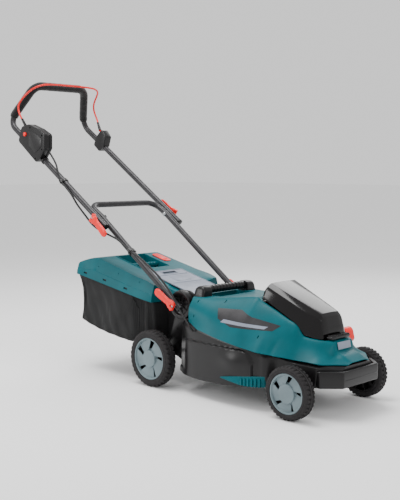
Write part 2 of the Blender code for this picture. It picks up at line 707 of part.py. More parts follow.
def box_lid():
    """Half sections of the lid: x, the height of its middle, then y and z of the crease and of the hem."""
    sections = (
        (-0.3330, 0.359, 0.1535, 0.3605, 0.1605, 0.3230),
        (-0.2410, 0.384, 0.140, 0.383, 0.1650, 0.3100),
        (-0.1100, 0.350, 0.143, 0.352, 0.1650, 0.2870),
        (-0.0610, 0.336, 0.145, 0.340, 0.1650, 0.2785),
        (0.0400, 0.3105, 0.146, 0.3150, 0.1590, 0.2610),
        (0.0460, 0.3090, 0.098, 0.3090, 0.1040, 0.2600),
        (0.1000, 0.2945, 0.098, 0.2930, 0.1040, 0.2500),
    )
    rows = [[(-0.3345, 0, 0.3225), (-0.3345, 0.150, 0.3225), (-0.3345, 0.1605, 0.3225)]]
    for x, middle_z, crease_y, crease_z, hem_y, hem_z in sections:
        rows.append([(x, 0, middle_z), (x, crease_y, crease_z), (x, hem_y, hem_z)])
    rows.append([(0.1015, 0, 0.2500), (0.1015, 0.098, 0.2500), (0.1015, 0.1040, 0.2500)])
    lid = skin("grass_box_lid", rows, TEAL, SHELL)
    block_side = [(-0.241, 0.383), (-0.106, 0.348), (-0.106, 0.318), (-0.241, 0.330)]
    block = plate("grab_block", block_side, -0.066, 0.066, None)
    hollow = box("grab_hollow", (-0.237, -0.062, 0.334), (-0.110, 0.062, 0.420), None)
    bar = box("grab_bar", (-0.184, -0.065, 0.346), (-0.160, 0.065, 0.360), None, bevel=0.004)
    join(lid, block)
    cut(lid, hollow)
    join(lid, bar)
    return lid


def grass_bag():
    """Half sections of the bag: x, its half width, the height of its floor and of its rim."""
    sections = (
        (-0.3100, 0.1535, 0.170, 0.318),
        (-0.2400, 0.158, 0.1455, 0.306),
        (-0.1500, 0.1595, 0.130, 0.291),
        (-0.0550, 0.1590, 0.122, 0.274),
        (-0.0300, 0.1500, 0.123, 0.270),
        (0.0380, 0.1380, 0.130, 0.258),
        (0.0480, 0.0950, 0.136, 0.256),
        (0.0980, 0.0950, 0.136, 0.2465),
    )
    rows = []
    for x, half, floor, rim in sections:
        corner = 0.011
        rows.append([(x, 0, floor), (x, half - corner, floor), (x, half - 0.005, floor + corner * 0.4),
                     (x, half, floor + corner), (x, half, (floor + rim) / 2), (x, half, rim)])
    first = rows[0]
    top_shares = (0, 0.88, 0.92, 0.95, 0.98, 1)
    rear = [(-0.3260, sections[0][1] * share, 0.318) for share in top_shares]
    lean = [(-0.3060, (a[1] + b[1]) / 2, (a[2] + b[2]) / 2) for a, b in zip(rear, first)]
    rows = [rear, lean, *rows]
    return skin("grass_bag", [list(reversed(row)) for row in rows], CLOTH, 0.0022)


def bag_frame():
    x, half_width, low, high = 0.0900, 0.0865, 0.1465, 0.2430
    corners = [(x, -half_width, high), (x, -half_width, low), (x, half_width, low), (x, half_width, high)]
    return tube("bag_frame", rounded(corners, 0.012, steps=3, closed=False), 0.0025, STEEL, sides=8)


def level_indicator():
    """The flap in the lid that drops when the box is full."""
    tilt = math.radians(14.5)
    flap = disc("level_indicator", 0.018, (0, 0, 0), (0, 0, 1), 0.0025, RED, steps=20)
    flap.matrix_world = (
        Matrix.Translation((-0.1850, 0.1020, 0.3718))
        @ Matrix.Rotation(tilt, 4, "Y") @ Matrix.Diagonal((2.1, 1, 1, 1))
    )
    return flap


# ---------------------------------------------------------------- handle

def both_sides(half):
    """A path from the right side, carried on to the left."""
    return [*half, *[(x, -y, z) for x, y, z in reversed(half)]]


def lower_handle():
    half = [at(LOWER_END, -LOWER_Y), at(UPPER_PIVOT, -LOWER_Y), at(CROSSBAR, -LOWER_Y)]
    path = rounded(both_sides(half), 0.045, steps=4, closed=False)
    handle = tube("lower_handle", path, LOWER_TUBE, TUBE_PAINT, sides=10, wall=TUBE_WALL)
    for place in (LOWER_PIVOT, UPPER_PIVOT):
        cut(handle, disc("bolt_hole", 0.0036, at(place, -0.2), (0, 1, 0), 0.4, steps=12))
    return handle


def upper_path():
    half = [at(UPPER_END, -UPPER_Y), at(HANDLE_BEND, -UPPER_Y), at(GRIP_BAR, -GRIP_BAR_Y)]
    return rounded(both_sides(half), 0.045, steps=4, closed=False)


def upper_handle():
    handle = tube("upper_handle", upper_path(), UPPER_TUBE, TUBE_PAINT, sides=10, wall=TUBE_WALL)
    cut(handle, disc("bolt_hole", 0.0036, at(UPPER_PIVOT, -0.2), (0, 1, 0), 0.4, steps=12))
    return handle


def foam_grip():
    skipped = 4
    path = upper_path()[skipped:-skipped]
    return tube("foam_grip", path, GRIP_RADIUS, FOAM, sides=10, wall=GRIP_RADIUS - 0.0118)


def pivot_bolt(name, pivot, side, head_y, end_y):
    """A coach bolt with its round head inside and its thread towards the lever."""
    length = end_y - head_y
    profile = [(0, length), (BOLT_RADIUS, length), (BOLT_RADIUS, 0.0), (0.0075, 0.0), (0.0055, -0.003), (0, -0.0042)]
    return turned(name, profile, at(pivot, side * head_y), (0, side, 0), STEEL, steps=12)


def clamp_lever(name, pivot, side, inner_y, angle):
    """A red cam lever: a barrel across the bolt's end, and a flat tail that lies at the given angle."""
    ahead = math.radians(angle)
    across = Vector((math.cos(ahead + math.pi / 2), 0, math.sin(ahead + math.pi / 2)))
    outline = [toward(pivot, ahead + quarter * math.pi / 2, LEVER_ROOT_HALF) for quarter in (1, -1)]
    end = toward(pivot, ahead, LEVER_LENGTH - LEVER_TIP_RADIUS)
    for k in range(7):
        outline.append(toward(end, ahead - math.pi / 2 + k * math.pi / 6, LEVER_TIP_RADIUS))
    low, high = sorted((side * inner_y, side * (inner_y + LEVER_THICKNESS)))
    lever = plate(name, outline, low, high, RED)
    add_bevel(lever, 0.0012)
    middle = Vector(at(pivot, (low + high) / 2))
    start = middle - across * LEVER_BARREL_HALF
    join(lever, disc("cam_barrel", LEVER_THICKNESS / 2, start, across, 2 * LEVER_BARREL_HALF, steps=20))
    return lever


def tube_channel(name, side):
    """The cutter for a clamp that closes round the upper tube."""
    start, end = Vector(at(HANDLE_BEND, side * UPPER_Y)), Vector(at(UPPER_END, side * UPPER_Y))
    along = (end - start).normalized()
    return disc(name, UPPER_TUBE + 0.0006, start + along * 0.03, along, 0.45, steps=16)


def switch_box():
    """Two halves that close round the right tube, with a slot for the bail's end and the wiring space."""
    outline = [(-0.6000, 0.8340), (-0.5610, 0.8410), (-0.5080, 0.8240), (-0.4640, 0.8030), (-0.4650, 0.7530),
               (-0.4950, 0.7190), (-0.5160, 0.7050), (-0.6220, 0.7820), (-0.6120, 0.8120)]
    halves = []
    for name, low, high in (("switch_box_outer", -0.1930, -0.17115), ("switch_box_inner", -0.17085, -0.1570)):
        half = plate(name, rounded(outline, 0.010, steps=2), low, high, DARK)
        slot = box("bail_slot", (-0.6165, -0.1765, 0.795), (-0.574, -0.1655, 0.860), None)
        inside = [(-0.560, 0.820), (-0.515, 0.805), (-0.485, 0.785), (-0.490, 0.756), (-0.530, 0.775)]
        hollow = plate("wiring_space", inside, -0.1890, -0.1605, None)
        cut(half, tube_channel("tube_channel", -1), slot, hollow)
        halves.append(half)
    outer = halves[0]
    cut(outer, disc("bail_bore", 0.0042, at(BAIL_PIVOT, -0.1822), (0, 1, 0), 0.0142, steps=12))
    cut(outer, disc("button_well", 0.0078, at(LOCK_BUTTON, -0.1838), (0, -1, 0), 0.02, steps=20))
    return halves


def bail_bracket():
    """The clamp on the left tube that holds the bail's other end."""
    outline = [(-0.5760, 0.8340), (-0.5520, 0.8060), (-0.5640, 0.7690), (-0.5920, 0.7500), (-0.6250, 0.7760),
               (-0.6080, 0.8080)]
    bracket = plate("bail_bracket", rounded(outline, 0.007, steps=2), 0.1570, 0.1880, DARK)
    slot = box("bail_slot", (-0.632, 0.1655, 0.795), (-0.574, 0.1765, 0.860), None)
    bore = disc("bail_bore", 0.0042, at(BAIL_PIVOT, 0.168), (0, 1, 0), 0.018, steps=12)
    cut(bracket, tube_channel("tube_channel", 1), slot, bore)
    return bracket


def lock_button():
    return turned(
        "lock_button",
        [(0, 0.0100), (0.0055, 0.0100), (0.0072, 0.0085), (0.0072, 0.0), (0, 0.0)],
        at(LOCK_BUTTON, -0.1884), (0, -1, 0), RED, steps=20,
    )


def bail():
    """The bar that starts the motor: a painted wire from its pivot in the switch box to the far clamp."""
    half = [at(BAIL_PIVOT, -0.1815), at(BAIL_PIVOT, -0.1710), (-0.6060, -0.1710, 0.8420), (-0.6240, -0.1780, 0.8700),
            (-0.6410, -0.1755, 0.9080), (-0.6200, -0.1632, 0.9450), (-0.5832, -0.1466, 0.9720),
            (-0.5660, -0.1180, 0.9842), (-0.5740, -0.0500, 0.9890)]
    path = rounded(both_sides(half), 0.0100, steps=2, closed=False)
    return tube("bail", path, BAIL_RADIUS, RED_PAINT, sides=6)


# ---------------------------------------------------------------- cable

CABLE_ROUTE = (
    (-0.4690, -0.1710, 0.7440), (-0.4480, -0.1710, 0.7230), (-0.4240, -0.1740, 0.6980), (-0.4020, -0.1820, 0.6680),
    (-0.3800, -0.1870, 0.6400), (-0.3560, -0.1870, 0.6220), (-0.3250, -0.1860, 0.5960), (-0.3000, -0.1820, 0.5640),
    (-0.2650, -0.1760, 0.5280), (-0.2280, -0.1755, 0.4985), (-0.1900, -0.1760, 0.4810), (-0.1500, -0.1720, 0.4680),
    (-0.1060, -0.1670, 0.4520), (-0.0560, -0.1630, 0.4200), (-0.0100, -0.1665, 0.4040), (0.0460, -0.1680, 0.3740),
    (0.0900, -0.1680, 0.3460), (0.1400, -0.1690, 0.3020), (0.1730, -0.1710, 0.2640), (0.2030, -0.1740, 0.2340),
    (0.2230, -0.1775, 0.2180), (0.2350, -0.1785, 0.2060), (0.2400, -0.1720, 0.1960),
)
CABLE_RUNS = {
    "cable_upper": (0, 6),
    "cable_upper_bend": (6, 12),
    "cable_lower": (12, 16),
    "cable_lower_bend": (16, 22),
}


def smooth_route(route, first, last):
    """Points of a Catmull-Rom curve through the route, between two of its points."""
    steps = 2
    points = [Vector(p) for p in route]
    path = []
    for i in range(first, last):
        before, start, end = points[max(i - 1, 0)], points[i], points[i + 1]
        after = points[min(i + 2, len(points) - 1)]
        for k in range(steps):
            t = k / steps
            path.append(0.5 * (2 * start + (end - before) * t + (2 * before - 5 * start + 4 * end - after) * t**2
                               + (3 * start - before - 3 * end + after) * t**3))
    path.append(points[last])
    return path


def cable():
    pieces = {}
    for name, (first, last) in CABLE_RUNS.items():
        path = smooth_route(CABLE_ROUTE, first, last)
        if first:
            path[0] = path[0] + (path[1] - path[0]).normalized() * 3 * GAP
        pieces[name] = tube(name, path, CABLE_RADIUS, SHEATH, sides=6)
    return pieces


def cable_clip(name, cable_point, cable_along, tube_centre, tube_radius, along):
    """A clip round the tube, with a bead that holds the cable."""
    half = 0.0060
    centre = Vector(tube_centre)
    along = Vector(along).normalized()
    ring_radius = tube_radius + 0.0028
    bore = tube_radius + 0.0009
    ring = [(ring_radius, half), (ring_radius, -half), (bore, -half), (bore, half)]
    clip = turned(name, ring, centre, along, DARK, steps=20)
    held = Vector(cable_point)
    bead = disc(f"{name}_bead", CABLE_RADIUS + 0.0030, held - cable_along * half, cable_along, 2 * half, steps=14)
    join(clip, bead)
    cut(clip, disc(f"{name}_tube", bore, centre - along * 0.02, along, 0.04, steps=20))
    cut(clip, disc(f"{name}_bore", CABLE_RADIUS + 0.0014, held - cable_along * 0.02, cable_along, 0.04, steps=14))
    return clip


# ---------------------------------------------------------------- assembly

def build():
    deck_housing()
    deck_cover()
    front_bumper()
    carry_handle()
    for name, side in SIDES.items():
        handle_bracket(name, side)
        grass_comb(name, side)
    flap_rod()
    battery_tray()

    rotor, fan, blade, bolt = motor()
    moving("blade_axis", (BLADE_X, 0, BLADE_Z), rotor, fan, blade, bolt)

    moving("lid_axis", at(LID_HINGE, 0), battery_lid())
    moving("latch_axis", (0.6550, 0, 0.2080), lid_latch())
    moving("key_axis", (0.6130, 0, 0.1745), safety_key())
    for name, side in SIDES.items():
        moving(f"pack_{name}_axis", (0.515, side * 0.036, 0.2375), battery_pack(name, side))
    moving("flap_axis", at(FLAP_HINGE, 0), discharge_flap())

    front_axle = crank_axle("front_axle", FRONT_HUB, FRONT_PIVOT, FRONT_WHEEL_Y)
    rear_axle = crank_axle("rear_axle", REAR_HUB, REAR_PIVOT, REAR_WHEEL_Y)
    moving("front_crank_axis", at(FRONT_PIVOT, 0), front_axle, height_lever())
    moving("rear_crank_axis", at(REAR_PIVOT, 0), rear_axle)
    moving("link_axis", at(FRONT_PIN, LINK_Y), height_link()).parent = None
    for name, side in SIDES.items():
        for end, hub, wheel_y, radius, rim_radius in (
            ("front", FRONT_HUB, FRONT_WHEEL_Y, FRONT_RADIUS, FRONT_RIM_RADIUS),
            ("rear", REAR_HUB, REAR_WHEEL_Y, REAR_RADIUS, REAR_RIM_RADIUS),
        ):
            pieces = wheel(f"{end}_{name}", side, hub, wheel_y, radius, rim_radius)
            moving(f"wheel_{end}_{name}_axis", at(hub, side * wheel_y), *pieces)

    moving("grass_box_place", (-0.10, 0, 0.25), box_lid(), grass_bag(), bag_frame())
    moving("indicator_axis", (-0.1485, 0.102, 0.3623), level_indicator())

    runs = cable()
    route = [Vector(p) for p in CABLE_ROUTE]
    lower_along = Vector(at(UPPER_PIVOT, 0)) - Vector(at(LOWER_PIVOT, 0))
    upper_along = Vector(at(HANDLE_BEND, 0)) - Vector(at(UPPER_END, 0))
    lower_pieces = [lower_handle(), runs["cable_lower"], runs["cable_upper_bend"]]
    upper_pieces = [upper_handle(), foam_grip(), *switch_box(), bail_bracket(), runs["cable_upper"]]
    for place, index, along, half_y, pivot, radius, pieces in (
        ("upper", 4, upper_along, UPPER_Y, UPPER_PIVOT, UPPER_TUBE, upper_pieces),
        ("lower", 13, lower_along, LOWER_Y, LOWER_PIVOT, LOWER_TUBE, lower_pieces),
    ):
        along.normalize()
        start = Vector(at(pivot, -half_y))
        centre = start + along * (route[index] - start).dot(along)
        cable_along = (route[index + 1] - route[index - 1]).normalized()
        pieces.append(cable_clip(f"cable_clip_{place}", route[index], cable_along, centre, radius, along))

    for name, side in SIDES.items():
        lower_pieces.append(pivot_bolt(f"lower_bolt_{name}", LOWER_PIVOT, side, 0.1050, 0.1614))
        upper_pieces.append(pivot_bolt(f"upper_bolt_{name}", UPPER_PIVOT, side, 0.1370, 0.1844))
        lower_lever = clamp_lever(f"lower_lever_{name}", LOWER_PIVOT, side, 0.1620, LOWER_LEVER_ANGLE)
        upper_lever = clamp_lever(f"upper_lever_{name}", UPPER_PIVOT, side, 0.1850, UPPER_LEVER_ANGLES[name])
        moving(f"lower_lever_{name}_axis", at(LOWER_PIVOT, side * 0.1685), lower_lever)
        moving(f"upper_lever_{name}_axis", at(UPPER_PIVOT, side * 0.1915), upper_lever)
    moving("lower_fold_axis", at(LOWER_PIVOT, 0), *lower_pieces)
    moving("upper_fold_axis", at(UPPER_PIVOT, 0), *upper_pieces)
    moving("button_axis", at(LOCK_BUTTON, -0.1884), lock_button())
    moving("bail_axis", at(BAIL_PIVOT, 0), bail())


def centre_the_frame():
    """The shapes above are drawn from a datum 65 mm behind the rear hubs, so all of them move back a little."""
    for item in bpy.data.objects:
        if item.parent is None:
            item.location.x -= FRAME_SHIFT


build()
centre_the_frame()
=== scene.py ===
"""The looks of a cordless lawn mower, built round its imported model.

Metres, in the model's frame: +X is forward, +Y is the operator's left and +Z is up. The shapes are drawn from
a datum DATUM_SHIFT ahead of that frame's origin, and settle() moves each one back as it is placed.
"""

import math

import bmesh
import bpy
import numpy as np
from mathutils import Matrix, Quaternion, Vector


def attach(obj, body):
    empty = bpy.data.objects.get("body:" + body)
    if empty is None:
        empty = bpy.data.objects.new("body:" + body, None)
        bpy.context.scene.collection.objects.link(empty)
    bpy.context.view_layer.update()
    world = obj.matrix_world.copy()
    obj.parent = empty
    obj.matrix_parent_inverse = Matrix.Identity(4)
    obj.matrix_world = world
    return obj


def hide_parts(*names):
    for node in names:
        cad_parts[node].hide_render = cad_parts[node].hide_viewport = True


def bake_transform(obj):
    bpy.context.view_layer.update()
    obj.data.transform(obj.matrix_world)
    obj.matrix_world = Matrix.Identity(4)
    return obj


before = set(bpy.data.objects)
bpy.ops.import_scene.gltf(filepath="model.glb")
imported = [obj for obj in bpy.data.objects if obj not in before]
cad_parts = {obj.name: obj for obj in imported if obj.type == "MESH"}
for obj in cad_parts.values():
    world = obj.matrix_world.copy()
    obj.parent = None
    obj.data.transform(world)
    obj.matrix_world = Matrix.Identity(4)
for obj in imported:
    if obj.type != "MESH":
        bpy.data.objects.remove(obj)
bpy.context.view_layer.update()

DATUM_SHIFT = 0.0106
SIDES = {"right": -1, "left": 1}

# Wheels.
REAR_RADIUS = 0.089
FRONT_RADIUS = 0.075
REAR_RIM_RADIUS = 0.0665
FRONT_RIM_RADIUS = 0.0572
TYRE_WIDTH = 0.04
REAR_HUB = (0.065, 0.089)
FRONT_HUB = (0.615, 0.075)
REAR_WHEEL_Y = 0.1755
FRONT_WHEEL_Y = 0.1788
AXLE_BORE_Y = 0.111
FRONT_PIVOT = (0.6426, 0.0981)
REAR_PIVOT = (0.0926, 0.1121)

# Handle.
LOWER_PIVOT = (0.147, 0.262)
UPPER_PIVOT = (-0.208, 0.522)
LOWER_Y = 0.1485
UPPER_Y = 0.171
LOWER_TUBE = 0.01
UPPER_TUBE = 0.0105
TUBE_BEND = 0.045
LOWER_END = (0.161, 0.2515)
CROSSBAR = (-0.274, 0.561)
UPPER_END = (-0.163, 0.492)
HANDLE_BEND = (-0.706, 0.855)
GRIP_BAR = (-0.624, 0.985)
GRIP_BAR_Y = 0.114
GRIP_RADIUS = 0.0155
BAIL_PIVOT = (-0.588, 0.808)
BAIL_RADIUS = 0.0033
LOCK_BUTTON = (-0.578, 0.806)

BLADE_X = 0.365
FLAP_HINGE = (0.1555, 0.2865)
CABLE_RADIUS = 0.0033
SPECULAR = 0.28
SHELL = 0.003


# ---------------------------------------------------------------- camera, floor and lights

def add_camera():
    yaw = math.radians(43.94)
    pitch = math.radians(-5.25)
    ahead = Vector((-math.sin(yaw) * math.cos(pitch), math.cos(yaw) * math.cos(pitch), math.sin(pitch)))
    data = bpy.data.cameras.new("camera")
    data.lens = 63.9
    data.sensor_width = 36
    camera = bpy.data.objects.new("camera", data)
    camera.location = (2.0747, -2.0576, 0.6845)
    camera.rotation_euler = ahead.to_track_quat("-Z", "Y").to_euler()
    bpy.context.scene.collection.objects.link(camera)
    bpy.context.scene.camera = camera


def add_light(name, place, target, size, power):
    data = bpy.data.lights.new(name, "AREA")
    data.shape = "RECTANGLE"
    data.size, data.size_y = size
    data.energy = power
    light = bpy.data.objects.new(name, data)
    light.location = place
    light.rotation_euler = (Vector(target) - Vector(place)).to_track_quat("-Z", "Y").to_euler()
    bpy.context.scene.collection.objects.link(light)


def add_stage():
    floor_material = bpy.data.materials.new("floor")
    floor_material.use_nodes = True
    shader = floor_material.node_tree.nodes["Principled BSDF"]
    shader.inputs["Base Color"].default_value = (0.93, 0.93, 0.93, 1)
    shader.inputs["Roughness"].default_value = 0.9
    size = 30
    mesh = bpy.data.meshes.new("floor")
    corners = [(-size, -size, 0), (size, -size, 0), (size, size, 0), (-size, size, 0)]
    mesh.from_pydata(corners, [], [(0, 1, 2, 3)])
    mesh.materials.append(floor_material)
    floor = bpy.data.objects.new("floor", mesh)
    floor.location.z = -0.0004
    bpy.context.scene.collection.objects.link(floor)

    world = bpy.context.scene.world or bpy.data.worlds.new("world")
    bpy.context.scene.world = world
    world.use_nodes = True
    sky = world.node_tree.nodes["Background"]
    sky.inputs["Color"].default_value = (1.0, 1.0, 1.0, 1)
    sky.inputs["Strength"].default_value = 1.0
    add_light("side_box", (-1.7, -2.5, 1.25), (0.1, -0.1, 0.25), (1.1, 0.9), 30)
    add_light("top_box", (-0.3, -0.4, 2.6), (0.2, 0.0, 0.3), (1.3, 1.3), 62)
    add_light("back_box", (-0.7, 2.3, 2.0), (0.3, 0.0, 0.3), (1.8, 1.0), 26)
    add_light("front_box", (3.0, -0.4, 1.5), (0.3, 0.0, 0.25), (1.0, 1.2), 18)


# ---------------------------------------------------------------- materials

def linear(value):
    """One sRGB channel, 0 to 255, as the linear value that a shader takes."""
    v = value / 255
    return v / 12.92 if v <= 0.04045 else ((v + 0.055) / 1.055) ** 2.4


def tint(rgb, share):
    """The colour, lighter or darker by a share of itself."""
    return (*[linear(min(255, c * share)) for c in rgb], 1.0)


FINISHES = {}


class Finish:
    """A procedural material on the object's own coordinates, which stay with the piece as it moves."""

    def __init__(self, name, roughness, metallic=0.0):
        self.material = bpy.data.materials.new(name)
        self.material.use_nodes = True
        FINISHES[name] = self.material
        self.nodes = self.material.node_tree.nodes
        self.links = self.material.node_tree.links
        self.shader = self.nodes["Principled BSDF"]
        self.set_shader(Metallic=metallic, Roughness=roughness, Specular_IOR_Level=SPECULAR)
        self.place = self.nodes.new("ShaderNodeTexCoord").outputs["Object"]

    def set_shader(self, **values):
        """Plain numbers on the shader's own sockets. An underscore stands for a space in a socket's name."""
        for name, value in values.items():
            self.shader.inputs[name.replace("_", " ")].default_value = value

    def node(self, kind, **inputs):
        """A new node, each of whose inputs takes a number or a link."""
        made = self.nodes.new(kind)
        for name, value in inputs.items():
            socket = made.inputs[name.replace("_", " ")]
            if isinstance(value, (int, float)):
                socket.default_value = value
            else:
                self.links.new(value, socket)
        return made

    def noise(self, scale, detail=3.0, distortion=0.0):
        sizes = {"Scale": scale, "Detail": detail, "Distortion": distortion}
        return self.node("ShaderNodeTexNoise", **sizes, Vector=self.place).outputs["Fac"]

    def wave(self, direction, period, distortion=0.0):
        scale = math.tau / 20 / period
        node = self.node("ShaderNodeTexWave", Scale=scale, Distortion=distortion, Vector=self.place)
        node.bands_direction = direction
        return node.outputs["Fac"]

    def maths(self, operation, first, second):
        node = self.nodes.new("ShaderNodeMath")
        node.operation = operation
        for socket, value in zip(node.inputs, (first, second)):
            if isinstance(value, (int, float)):
                socket.default_value = value
            else:
                self.links.new(value, socket)
        return node.outputs[0]

    def colour(self, factor, low, high):
        """A ramp between two (position, colour) stops."""
        ramp = self.node("ShaderNodeValToRGB", Fac=factor)
        for element, (place, value) in zip(ramp.color_ramp.elements, (low, high)):
            element.position = place
            element.color = value
        self.links.new(ramp.outputs["Color"], self.shader.inputs["Base Color"])

    def roughen(self, factor, low, high):
        node = self.node("ShaderNodeMapRange", To_Min=low, To_Max=high, Value=factor)
        self.links.new(node.outputs["Result"], self.shader.inputs["Roughness"])

    def bump(self, height, strength, distance):
        node = self.node("ShaderNodeBump", Strength=strength, Distance=distance, Height=height)
        self.links.new(node.outputs["Normal"], self.shader.inputs["Normal"])


def moulded(name, rgb, roughness, grain=0.25, grain_scale=1400, coat=0.0, contrast=0.06, specular=SPECULAR):
    """Moulded plastic: a fine even grain, with slightly uneven colour and gloss."""
    finish = Finish(name, roughness)
    finish.colour(finish.noise(14, 4), (0.3, tint(rgb, 1 - contrast)), (0.7, tint(rgb, 1 + contrast)))
    finish.roughen(finish.noise(60, 5), roughness - 0.05, roughness + 0.07)
    finish.bump(finish.noise(grain_scale, 2), grain, 0.0004)
    finish.set_shader(Specular_IOR_Level=specular, Coat_Weight=coat, Coat_Roughness=0.08)


def painted(name, rgb, roughness, metallic):
    """Powder or gloss paint on metal, with a soft orange peel."""
    finish = Finish(name, roughness, metallic)
    finish.colour(finish.noise(40, 4), (0.35, tint(rgb, 0.93)), (0.65, tint(rgb, 1.07)))
    finish.roughen(finish.noise(120, 3), roughness - 0.04, roughness + 0.08)
    finish.bump(finish.noise(700, 2), 0.12, 0.0004)


def metal(name, rgb, roughness):
    """Bare steel with a fine drawn grain and dull patches."""
    finish = Finish(name, roughness, 1.0)
    finish.colour(finish.noise(70, 6), (0.3, tint(rgb, 0.82)), (0.7, tint(rgb, 1.08)))
    finish.roughen(finish.noise(240, 4, 0.6), roughness - 0.08, roughness + 0.15)
    finish.bump(finish.wave("Y", 0.0009, 1.5), 0.06, 0.0003)


def rubber(name, rgb):
    finish = Finish(name, 0.72)
    finish.colour(finish.noise(35, 5), (0.3, tint(rgb, 0.86)), (0.75, tint(rgb, 1.12)))
    finish.roughen(finish.noise(90, 4), 0.62, 0.85)
    finish.bump(finish.noise(1000, 4), 0.35, 0.0005)


def foam(name, rgb):
    """Closed-cell foam: small soft cells."""
    finish = Finish(name, 0.92)
    cells = finish.node("ShaderNodeTexVoronoi", Scale=620, Vector=finish.place)
    finish.colour(finish.noise(60, 5), (0.3, tint(rgb, 0.82)), (0.7, tint(rgb, 1.2)))
    finish.bump(cells.outputs["Distance"], 0.55, 0.0006)
    finish.set_shader(Sheen_Weight=0.25)


def woven(name, rgb):
    """A coarse plain weave whose threads run along all three axes, so that it shows on every face."""
    finish = Finish(name, 0.88)
    across = finish.maths("MULTIPLY", finish.wave("X", 0.0026, 0.4), finish.wave("Z", 0.0026, 0.4))
    weave = finish.maths("ADD", across, finish.wave("Y", 0.0026, 0.4))
    patches = finish.maths("MULTIPLY", finish.noise(9, 5), 0.78)
    mixed = finish.maths("ADD", finish.maths("MULTIPLY", weave, 0.22), patches)
    finish.colour(mixed, (0.28, tint(rgb, 0.72)), (0.78, tint(rgb, 1.28)))
    finish.roughen(finish.noise(30, 4), 0.8, 0.96)
    finish.bump(weave, 0.45, 0.0007)
    finish.set_shader(Sheen_Weight=0.12)


def make_finishes():
    """Every finish by its name, with its colour in sRGB and its roughness."""
    moulded("deck_black", (19, 18, 19), 0.3, grain=0.05, grain_scale=420)
    moulded("cover_teal", (2, 82, 90), 0.38, grain=0.05, specular=0.12)
    moulded("smoked_lid", (9, 7, 8), 0.1, grain=0.01, contrast=0.1)
    moulded("wheel_grey", (104, 119, 124), 0.44, grain=0.2)
    moulded("flap_grey", (122, 128, 142), 0.36, grain=0.12, coat=0.1)
    moulded("control_red", (232, 26, 20), 0.34, grain=0.12, coat=0.08)
    rubber("tyre_rubber", (32, 30, 31))
    foam("grip_foam", (15, 14, 15))
    woven("bag_fabric", (12, 12, 13))
    painted("tube_paint", (46, 45, 47), 0.34, 0.25)
    painted("bail_paint", (215, 24, 20), 0.28, 0.0)
    metal("bright_steel", (176, 178, 180), 0.3)
    metal("blade_steel", (82, 84, 88), 0.42)
    moulded("cable_sheath", (17, 17, 18), 0.5, grain=0.4, grain_scale=900)


# ---------------------------------------------------------------- shapes

def at(place, y):
    """A point from an (x, z) pair and a y."""
    return (place[0], y, place[1])


def toward(start, angle, distance):
    """The (x, z) pair that far from start, the angle measured up from +X."""
    return (start[0] + distance * math.cos(angle), start[1] + distance * math.sin(angle))


def smooth_step(value, low, high):
    t = np.clip((value - low) / (high - low), 0.0, 1.0)
    return t * t * (3 - 2 * t)


def swell(value, middle, width):
    return math.exp(-(((value - middle) / width) ** 2))


def standing(centre, axis):
    """The matrix that takes what is drawn along +Z from the origin to centre, and points it along axis."""
    turn = Vector((0, 0, 1)).rotation_difference(Vector(axis)).to_matrix().to_4x4()
    return Matrix.Translation(centre) @ turn


def span(side, near, far):
    """Two distances from the middle as the lower and the higher y on that side."""
    return sorted((side * near, side * far))


def squarish(turn, power):
    """A point of the unit circle, pushed out towards the corners of its square."""
    return [math.copysign(abs(v) ** power, v) for v in (math.cos(turn), math.sin(turn))]


def mirrored(outline):
    """A flat outline's left half in reverse, from its right half."""
    return [(x, -y) for x, y in reversed(outline)]


def through(table, xs):
    """The table's columns at each of xs, along curves that don't overshoot. The first column is x."""
    table = np.array(table, float)
    knots = table[:, 0]
    gaps = np.diff(knots)[:, None]
    slopes = np.diff(table, axis=0) / gaps
    tangents = np.zeros_like(table)
    tangents[0], tangents[-1] = slopes[0], slopes[-1]
    before, after = slopes[:-1], slopes[1:]
    first, second = gaps[:-1] + 2 * gaps[1:], 2 * gaps[:-1] + gaps[1:]
    with np.errstate(divide="ignore", invalid="ignore"):
        mean = (first + second) / (first / before + second / after)
    tangents[1:-1] = np.where(before * after > 0, mean, 0)
    rows = []
    for x in xs:
        i = int(np.clip(np.searchsorted(knots, x) - 1, 0, len(gaps) - 1))
        h = gaps[i, 0]
        t = (x - knots[i]) / h
        rows.append(
            (2 * t**3 - 3 * t**2 + 1) * table[i] + (t**3 - 2 * t**2 + t) * h * tangents[i]
            + (3 * t**2 - 2 * t**3) * table[i + 1] + (t**3 - t**2) * h * tangents[i + 1]
        )
    return rows


def stations(table, step):
    """The table's own x values with evenly spaced ones between them."""
    knots = [row[0] for row in table]
    xs = []
    for start, end in zip(knots, knots[1:]):
        count = max(1, round((end - start) / step))
        xs += [start + (end - start) * k / count for k in range(count)]
    return [*xs, knots[-1]]


def flowing(points, steps, closed=False):
    """A centripetal Catmull-Rom curve through the points, with that many steps between two of them."""
    points = [Vector(p).to_3d() for p in points]
    if closed:
        points = [points[-1], *points, points[0], points[1]]
    else:
        points = [2 * points[0] - points[1], *points, 2 * points[-1] - points[-2]]
    path = []
    for p0, p1, p2, p3 in zip(points, points[1:], points[2:], points[3:]):
        t1 = math.sqrt((p1 - p0).length)
        t2 = t1 + math.sqrt((p2 - p1).length)
        t3 = t2 + math.sqrt((p3 - p2).length)
        for k in range(steps):
            t = t1 + (t2 - t1) * k / steps
            a1 = p0 * (t1 - t) / t1 + p1 * t / t1
            a2 = p1 * (t2 - t) / (t2 - t1) + p2 * (t - t1) / (t2 - t1)
            a3 = p2 * (t3 - t) / (t3 - t2) + p3 * (t - t2) / (t3 - t2)
            b1 = a1 * (t2 - t) / t2 + a2 * t / t2
            b2 = a2 * (t3 - t) / (t3 - t1) + a3 * (t - t1) / (t3 - t1)
            path.append(b1 * (t2 - t) / (t2 - t1) + b2 * (t - t1) / (t2 - t1))
    if not closed:
        path.append(points[-2])
    return path


